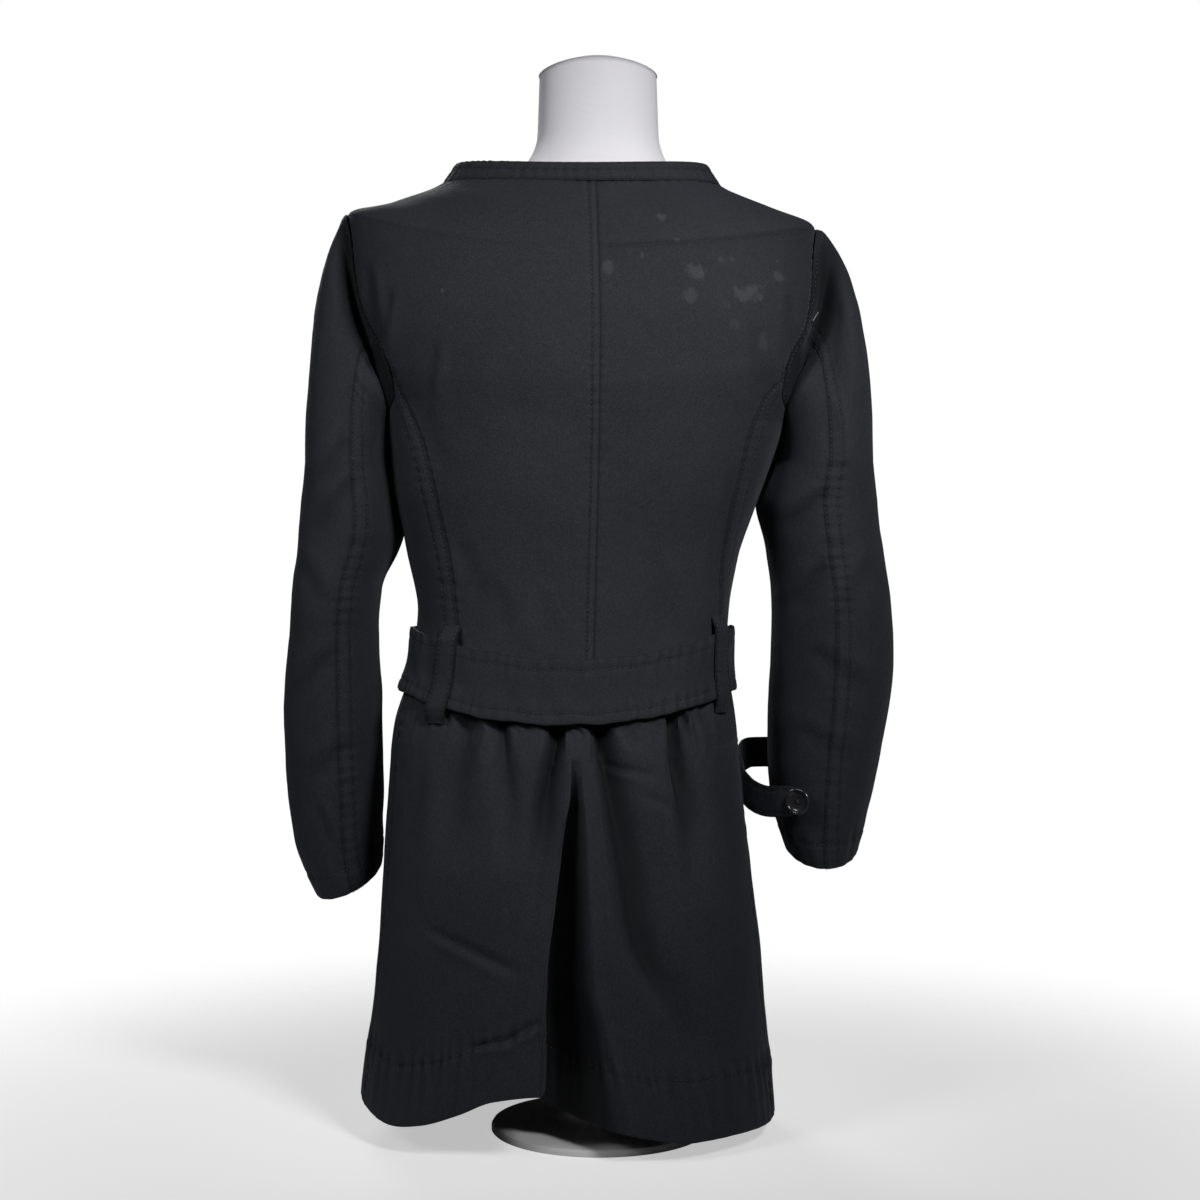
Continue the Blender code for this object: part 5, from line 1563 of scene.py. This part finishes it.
def plain_copy(source, name):
    """The evaluated object as a plain mesh, with the source removed."""
    graph = bpy.context.evaluated_depsgraph_get()
    mesh = bpy.data.meshes.new_from_object(source.evaluated_get(graph))
    mesh.transform(source.matrix_world)
    mesh.name = name
    obj = placed(name, mesh)
    bpy.data.objects.remove(source)
    return obj


# ---------------------------------------------------------------- buttons

BUTTON_RADIUS = 0.0115
BUTTON_THICK = 0.0034
HOLE_RADIUS = 0.0011
HOLE_AWAY = 0.0022
RIM = 0.0013
THREAD_RADIUS = 0.00032
SHANK_RADIUS = 0.0017
THREAD_APART = 0.0003
BUTTON_ON = {
    "cuff_button_left": "sleeve_upper_left", "cuff_button_right": "sleeve_upper_right",
    "belt_button": "belt", **{f"front_button_{number}": "belt" for number in range(1, 5)},
}


def turned_mesh(name, profile, steps):
    """A closed turned shape from a profile of (radius, height), top middle first."""
    count = len(profile)
    angles = np.linspace(0, 2 * np.pi, steps, endpoint=False)
    radius = np.array([p[0] for p in profile[1:-1]])
    height = np.array([p[1] for p in profile[1:-1]])
    x, y = radius[:, None] * np.cos(angles), radius[:, None] * np.sin(angles)
    points = np.stack([x, y, np.broadcast_to(height[:, None], x.shape)], axis=-1).reshape(-1, 3)
    points = np.concatenate([points, [[0, 0, profile[0][1]], [0, 0, profile[-1][1]]]])
    top, low = len(points) - 2, len(points) - 1
    faces = []
    last = (count - 3) * steps
    for i in range(steps):
        n = (i + 1) % steps
        faces.append((top, i, n))
        faces += [(r + i, r + steps + i, r + steps + n, r + n) for r in range(0, last, steps)]
        faces.append((low, last + n, last + i))
    mesh = bpy.data.meshes.new(name)
    mesh.from_pydata(points.tolist(), [], faces)
    mesh.shade_smooth()
    mesh.set_sharp_from_angle(angle=BUTTON_SHARP)
    return mesh


class COAT_OT_buttons(Piece, bpy.types.Operator):
    """Sew on the glossy four-hole buttons."""
    bl_idname = "coat.buttons"
    bl_label = "Buttons"

    def execute(self, context):
        template = self.template()
        threads = []
        for node, under in BUTTON_ON.items():
            place, turn = self.seat(node, under)
            mesh = template.copy()
            flat = np.empty(len(mesh.vertices) * 3)
            mesh.vertices.foreach_get("co", flat)
            moved = flat.reshape(-1, 3) @ turn.T + place
            mesh.vertices.foreach_set("co", moved.ravel())
            mesh.update()
            finished(placed("glossy_" + node, mesh), "glossy_button", "button", node)
            threads.append((place, turn))
        self.threads(threads)
        bpy.data.meshes.remove(template)
        return {"FINISHED"}

    def template(self):
        """A dished button with a rolled rim and four holes."""
        rim = [
            (BUTTON_RADIUS - RIM + RIM * math.sin(a), BUTTON_THICK - RIM + RIM * math.cos(a))
            for a in np.linspace(-1.1, 2.4, 12)
        ]
        dish = [(BUTTON_RADIUS * 0.30, BUTTON_THICK * 0.50), (BUTTON_RADIUS * 0.62, BUTTON_THICK * 0.58)]
        back = [(BUTTON_RADIUS * 0.86, 0.0001), (BUTTON_RADIUS * 0.4, 0.0)]
        profile = [(0, BUTTON_THICK * 0.48)] + dish + rim + back + [(0, 0)]
        disc = placed("button_blank", turned_mesh("button_blank", profile, 56))
        drills = []
        for spot in self.holes():
            bpy.ops.mesh.primitive_cylinder_add(
                vertices=16, radius=HOLE_RADIUS, depth=0.012, location=(*spot, 0.001))
            drill = bpy.context.object
            cut = disc.modifiers.new("Hole", "BOOLEAN")
            cut.object = drill
            drills.append(drill)
        bored = plain_copy(disc, "button_bored")
        for drill in drills:
            bpy.data.objects.remove(drill)
        mesh = bored.data
        bpy.data.objects.remove(bored)
        return mesh

    @staticmethod
    def seat(node, under):
        """Where a button's plain solid sits and the turn that takes +Z to its face."""
        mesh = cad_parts[node].data
        flat = np.empty(len(mesh.vertices) * 3)
        mesh.vertices.foreach_get("co", flat)
        points = np.unique(np.round(flat.reshape(-1, 3), 6), axis=0)
        low, high = (np.array(c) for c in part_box(under))
        middle = points.mean(axis=0)
        _, _, axes = np.linalg.svd(points - middle)
        face = axes[2]
        if face @ (middle - (low + high) / 2) < 0:
            face = -face
        side = unit(np.cross((0.0, 0.0, 1.0), face))
        turn = np.stack([side, np.cross(face, side), face], axis=1)
        base = middle + face * (points @ face - middle @ face).min()
        return base, turn

    @staticmethod
    def holes():
        angles = [(quarter + 0.5) * math.pi / 2 for quarter in range(4)]
        return [(HOLE_AWAY * math.cos(angle), HOLE_AWAY * math.sin(angle)) for angle in angles]

    def threads(self, seats):
        """Crossed thread through the holes of each button, and a short shank under it."""
        pieces = []
        spots = self.holes()
        for place, turn in seats:
            for (x, y), (far_x, far_y) in ((spots[0], spots[2]), (spots[1], spots[3])):
                for offset in (-THREAD_APART, THREAD_APART):
                    rises = np.array([0.1, 0.66, 0.76, 0.66, 0.1]) * BUTTON_THICK
                    across = [x + offset, x + offset, offset, far_x + offset, far_x + offset]
                    line = np.stack([across, [y, y, offset, far_y, far_y], rises], axis=-1)
                    pieces.append(line @ turn.T + place)
            pieces.append(np.array([(0, 0, -0.0022), (0, 0, 0.0004)]) @ turn.T + place)
        radii = ([THREAD_RADIUS] * 4 + [SHANK_RADIUS]) * len(seats)
        finished(tubes("button_threads", pieces, radii), "sewing_thread", "button")


def tubes(name, lines, radii):
    """Round threads along lines, as one plain mesh."""
    curve = bpy.data.curves.new(name, "CURVE")
    curve.dimensions = "3D"
    curve.bevel_depth = 1.0
    curve.bevel_resolution = 1
    curve.use_fill_caps = True
    for line, radius in zip(lines, radii):
        spline = curve.splines.new("POLY")
        spline.points.add(len(line) - 1)
        for point, place in zip(spline.points, line):
            point.co = (*place, 1)
            point.radius = radius
    made = plain_copy(placed(name + "_line", curve), name)
    made.data.shade_smooth()
    return made


# ---------------------------------------------------------------- dress form and stand

POLE_RADIUS = 0.014
BASE_RADIUS = 0.095
BASE_THICK = 0.008
HUB_RADIUS = 0.026
HUB_HEIGHT = 0.034


class COAT_OT_form(Piece, bpy.types.Operator):
    """Cover the dress form with jersey, and turn its stand."""
    bl_idname = "coat.form"
    bl_label = "Dress form"

    def execute(self, context):
        columns = 144
        angles = np.linspace(0, 2 * np.pi, columns, endpoint=False)
        rows = np.linspace(0, len(FORM_RINGS) - 1, 120)
        grid = on_ring(ring_at(FORM_RINGS, rows[:, None]), angles[None, :])
        # A cap closes the neck, with a thin lip round its edge.
        centre = grid[0].mean(axis=0)
        cap = []
        for reach, rise in NECK_CAP:
            ring = centre + (grid[0] - centre) * reach
            ring[:, 2] = centre[2] + (grid[0][:, 2] - centre[2]) * reach + NECK_DOME * rise
            cap.append(ring)
        lip = grid[0] + unit(grid[0] - centre) * LIP
        under = grid[-1].mean(axis=0)
        floor = under + (grid[-1] - under) * np.array([0.55, 0.02])[:, None, None]
        whole = np.concatenate([np.array(cap[1:]), lip[None], grid, floor])
        count = len(whole)
        index = np.arange(count * columns).reshape(count, columns)
        after = np.roll(index, -1, axis=1)
        faces = np.stack([index[:-1], index[1:], after[1:], after[:-1]], axis=-1).reshape(-1, 4)
        points = np.concatenate([whole.reshape(-1, 3), cap[0][:1], under[None]])
        top, low = len(points) - 2, len(points) - 1
        tips = [(top, i, (i + 1) % columns) for i in range(columns)]
        tips += [(low, index[-1][(i + 1) % columns], index[-1][i]) for i in range(columns)]
        mesh = bpy.data.meshes.new("jersey_form_torso")
        mesh.from_pydata(points.tolist(), [], faces.tolist() + [tuple(int(v) for v in t) for t in tips])
        mesh.shade_smooth()
        around = np.arctan2(points[:, 1], points[:, 0]) * FORM_REACH
        in_metres(mesh, np.stack([around, points[:, 2]], axis=-1))
        torso = placed("jersey_form_torso", mesh)
        finished(torso, "form_jersey", "form_jersey", "form_torso")
        self.stand()
        return {"FINISHED"}

    def stand(self):
        soft = 0.004
        base = [
            (0, HUB_HEIGHT), (HUB_RADIUS * 0.8, HUB_HEIGHT), (HUB_RADIUS * 0.94, HUB_HEIGHT - soft * 0.4),
            (HUB_RADIUS, HUB_HEIGHT - soft), (HUB_RADIUS * 1.15, BASE_THICK + soft),
            (HUB_RADIUS * 1.28, BASE_THICK + soft * 0.3), (HUB_RADIUS * 1.5, BASE_THICK),
            (BASE_RADIUS - soft, BASE_THICK * 0.8), (BASE_RADIUS - soft * 0.3, BASE_THICK * 0.7),
            (BASE_RADIUS, BASE_THICK * 0.45), (BASE_RADIUS, 0.0004), (BASE_RADIUS - 0.0004, 0), (0, 0),
        ]
        plate = placed("turned_form_base", turned_mesh("turned_form_base", base, 96))
        low, high = HUB_HEIGHT + 0.0003, FORM_RINGS[-1].z_back - 0.0003
        pole = [(0, high), (POLE_RADIUS - 0.001, high), (POLE_RADIUS, high - 0.001)]
        pole += [(POLE_RADIUS, low + (high - low) * (1 - k / 12)) for k in range(1, 12)]
        pole += [(POLE_RADIUS, low + 0.001), (POLE_RADIUS - 0.001, low), (0, low)]
        tube = placed("turned_form_pole", turned_mesh("turned_form_pole", pole, 48))
        finished(plate, "painted_stand", "stand", "form_base")
        finished(tube, "painted_stand", "stand", "form_pole")


LINT_RADIUS = 0.00035
LINT_OUT = 0.0012
LINT_ANGLE = 2.75
LINT_EDGE = -0.1885


class COAT_OT_lint(Piece, bpy.types.Operator):
    """Lay a short pale thread on the right shoulder."""
    bl_idname = "coat.lint"
    bl_label = "Loose thread"

    def execute(self, context):
        share = np.linspace(0, 1, 14)
        bend = np.sin(np.pi * share)
        x = -0.1815 - 0.0085 * share - 0.0015 * bend
        z = 0.7005 + 0.0115 * share + 0.0020 * bend
        rows = row_at_height(np.full(share.shape, LINT_ANGLE), z)
        angles = angle_at(np.maximum(x, LINT_EDGE), rows)
        points = coat(angles, rows) + outward(angles, rows) * LINT_OUT
        finished(tubes("loose_thread", [points], [LINT_RADIUS]), "pale_thread", "coat_cloth")
        return {"FINISHED"}


# ---------------------------------------------------------------- stage

# Soft discs of light, each turned to its target, with its cone in degrees
Light = namedtuple("Light", "name place target size watts spread")
LIGHTS = records(Light, (
    ("key_light", (-0.70, 1.25, 1.40), (-0.02, 0.0, 0.57), 0.45, 2.1, 50),
    ("fill_light", (1.2, 1.0, 1.3), (0.24, 0.0, 0.52), 0.7, 1.0, 50),
    ("front_light", (0.9, -2.3, 1.9), (0.0, 0.0, 0.85), 1.2, 2.8, 60),
))
ROOM_LIGHT = 0.035
FLOOR_REACH = 6.0
FADE_FROM, FADE_TO = 0.30, 0.95


class COAT_OT_stage(Piece, bpy.types.Operator):
    """Set the pale floor, the soft lights and the camera."""
    bl_idname = "coat.stage"
    bl_label = "Stage"

    def execute(self, context):
        self.floor()
        self.world()
        for light in LIGHTS:
            self.light(light)
        self.camera()
        context.scene.view_settings.view_transform = "Standard"
        return {"FINISHED"}

    @staticmethod
    def floor():
        reach = FLOOR_REACH
        mesh = bpy.data.meshes.new("stage_floor")
        corners = [(-reach, -reach, 0), (reach, -reach, 0), (reach, reach, 0), (-reach, reach, 0)]
        mesh.from_pydata(corners, [], [(0, 1, 2, 3)])
        mesh.materials.append(FINISHES["stage_floor"])
        placed("stage_floor", mesh)

    @staticmethod
    def world():
        """A white room that gives only a little light."""
        world = bpy.data.worlds.new("studio")
        bpy.context.scene.world = world
        world.use_nodes = True
        tree = world.node_tree
        tree.nodes.clear()
        start = Value(tree)
        seen = start.node("ShaderNodeLightPath", output="Is Camera Ray")
        strength = ROOM_LIGHT + seen * (1 - ROOM_LIGHT)
        shade = start.node("ShaderNodeBackground", None, {"Color": (1, 1, 1, 1), "Strength": strength})
        start.node("ShaderNodeOutputWorld", None, {"Surface": shade})

    @staticmethod
    def light(light):
        data = bpy.data.lights.new(light.name, "AREA")
        data.shape = "DISK"
        data.size = light.size
        data.energy = light.watts
        data.spread = math.radians(light.spread)
        lamp = placed(light.name, data)
        lamp.location = light.place
        away = np.array(light.place) - np.array(light.target)
        flat = math.hypot(away[0], away[1])
        lamp.rotation_euler = (math.atan2(flat, away[2]), 0, math.atan2(away[1], away[0]) + math.pi / 2)

    @staticmethod
    def camera():
        distance, height, frame_share, sensor = 1.7, 0.462, 0.95, 36.0
        data = bpy.data.cameras.new("camera")
        data.sensor_width = sensor
        data.lens = sensor * distance * frame_share
        camera = placed("camera", data)
        camera.location = (0, distance, height)
        camera.rotation_euler = (math.pi / 2, 0, math.pi)
        bpy.context.scene.camera = camera


# ---------------------------------------------------------------- panel and run

OPERATORS = (
    COAT_OT_finishes, COAT_OT_backs, COAT_OT_fronts, COAT_OT_neck_band, COAT_OT_skirt, COAT_OT_belt,
    COAT_OT_sleeves, COAT_OT_straps, COAT_OT_buttons, COAT_OT_stitching, COAT_OT_lint, COAT_OT_form,
    COAT_OT_stage,
)


class COAT_PT_panel(bpy.types.Panel):
    """Lists the steps that make the coat."""
    bl_idname = "COAT_PT_panel"
    bl_label = "Belted coat"
    bl_space_type = "VIEW_3D"
    bl_region_type = "UI"
    bl_category = "Coat"

    def draw(self, context):
        for group in (context.scene.coat_sizes, context.scene.coat_colours):
            for name in group.__annotations__:
                self.layout.prop(group, name)
        for operator in OPERATORS:
            self.layout.operator(operator.bl_idname)


CLASSES = (CoatSizes, CoatColours) + OPERATORS + (COAT_PT_panel,)


def register():
    for cls in CLASSES:
        bpy.utils.register_class(cls)
    bpy.types.Scene.coat_sizes = bpy.props.PointerProperty(type=CoatSizes)
    bpy.types.Scene.coat_colours = bpy.props.PointerProperty(type=CoatColours)


def unregister():
    del bpy.types.Scene.coat_colours
    del bpy.types.Scene.coat_sizes
    for cls in reversed(CLASSES):
        bpy.utils.unregister_class(cls)


def main():
    register()
    for operator in OPERATORS:
        group, name = operator.bl_idname.split(".")
        getattr(getattr(bpy.ops, group), name)()


if __name__ == "__main__":
    main()
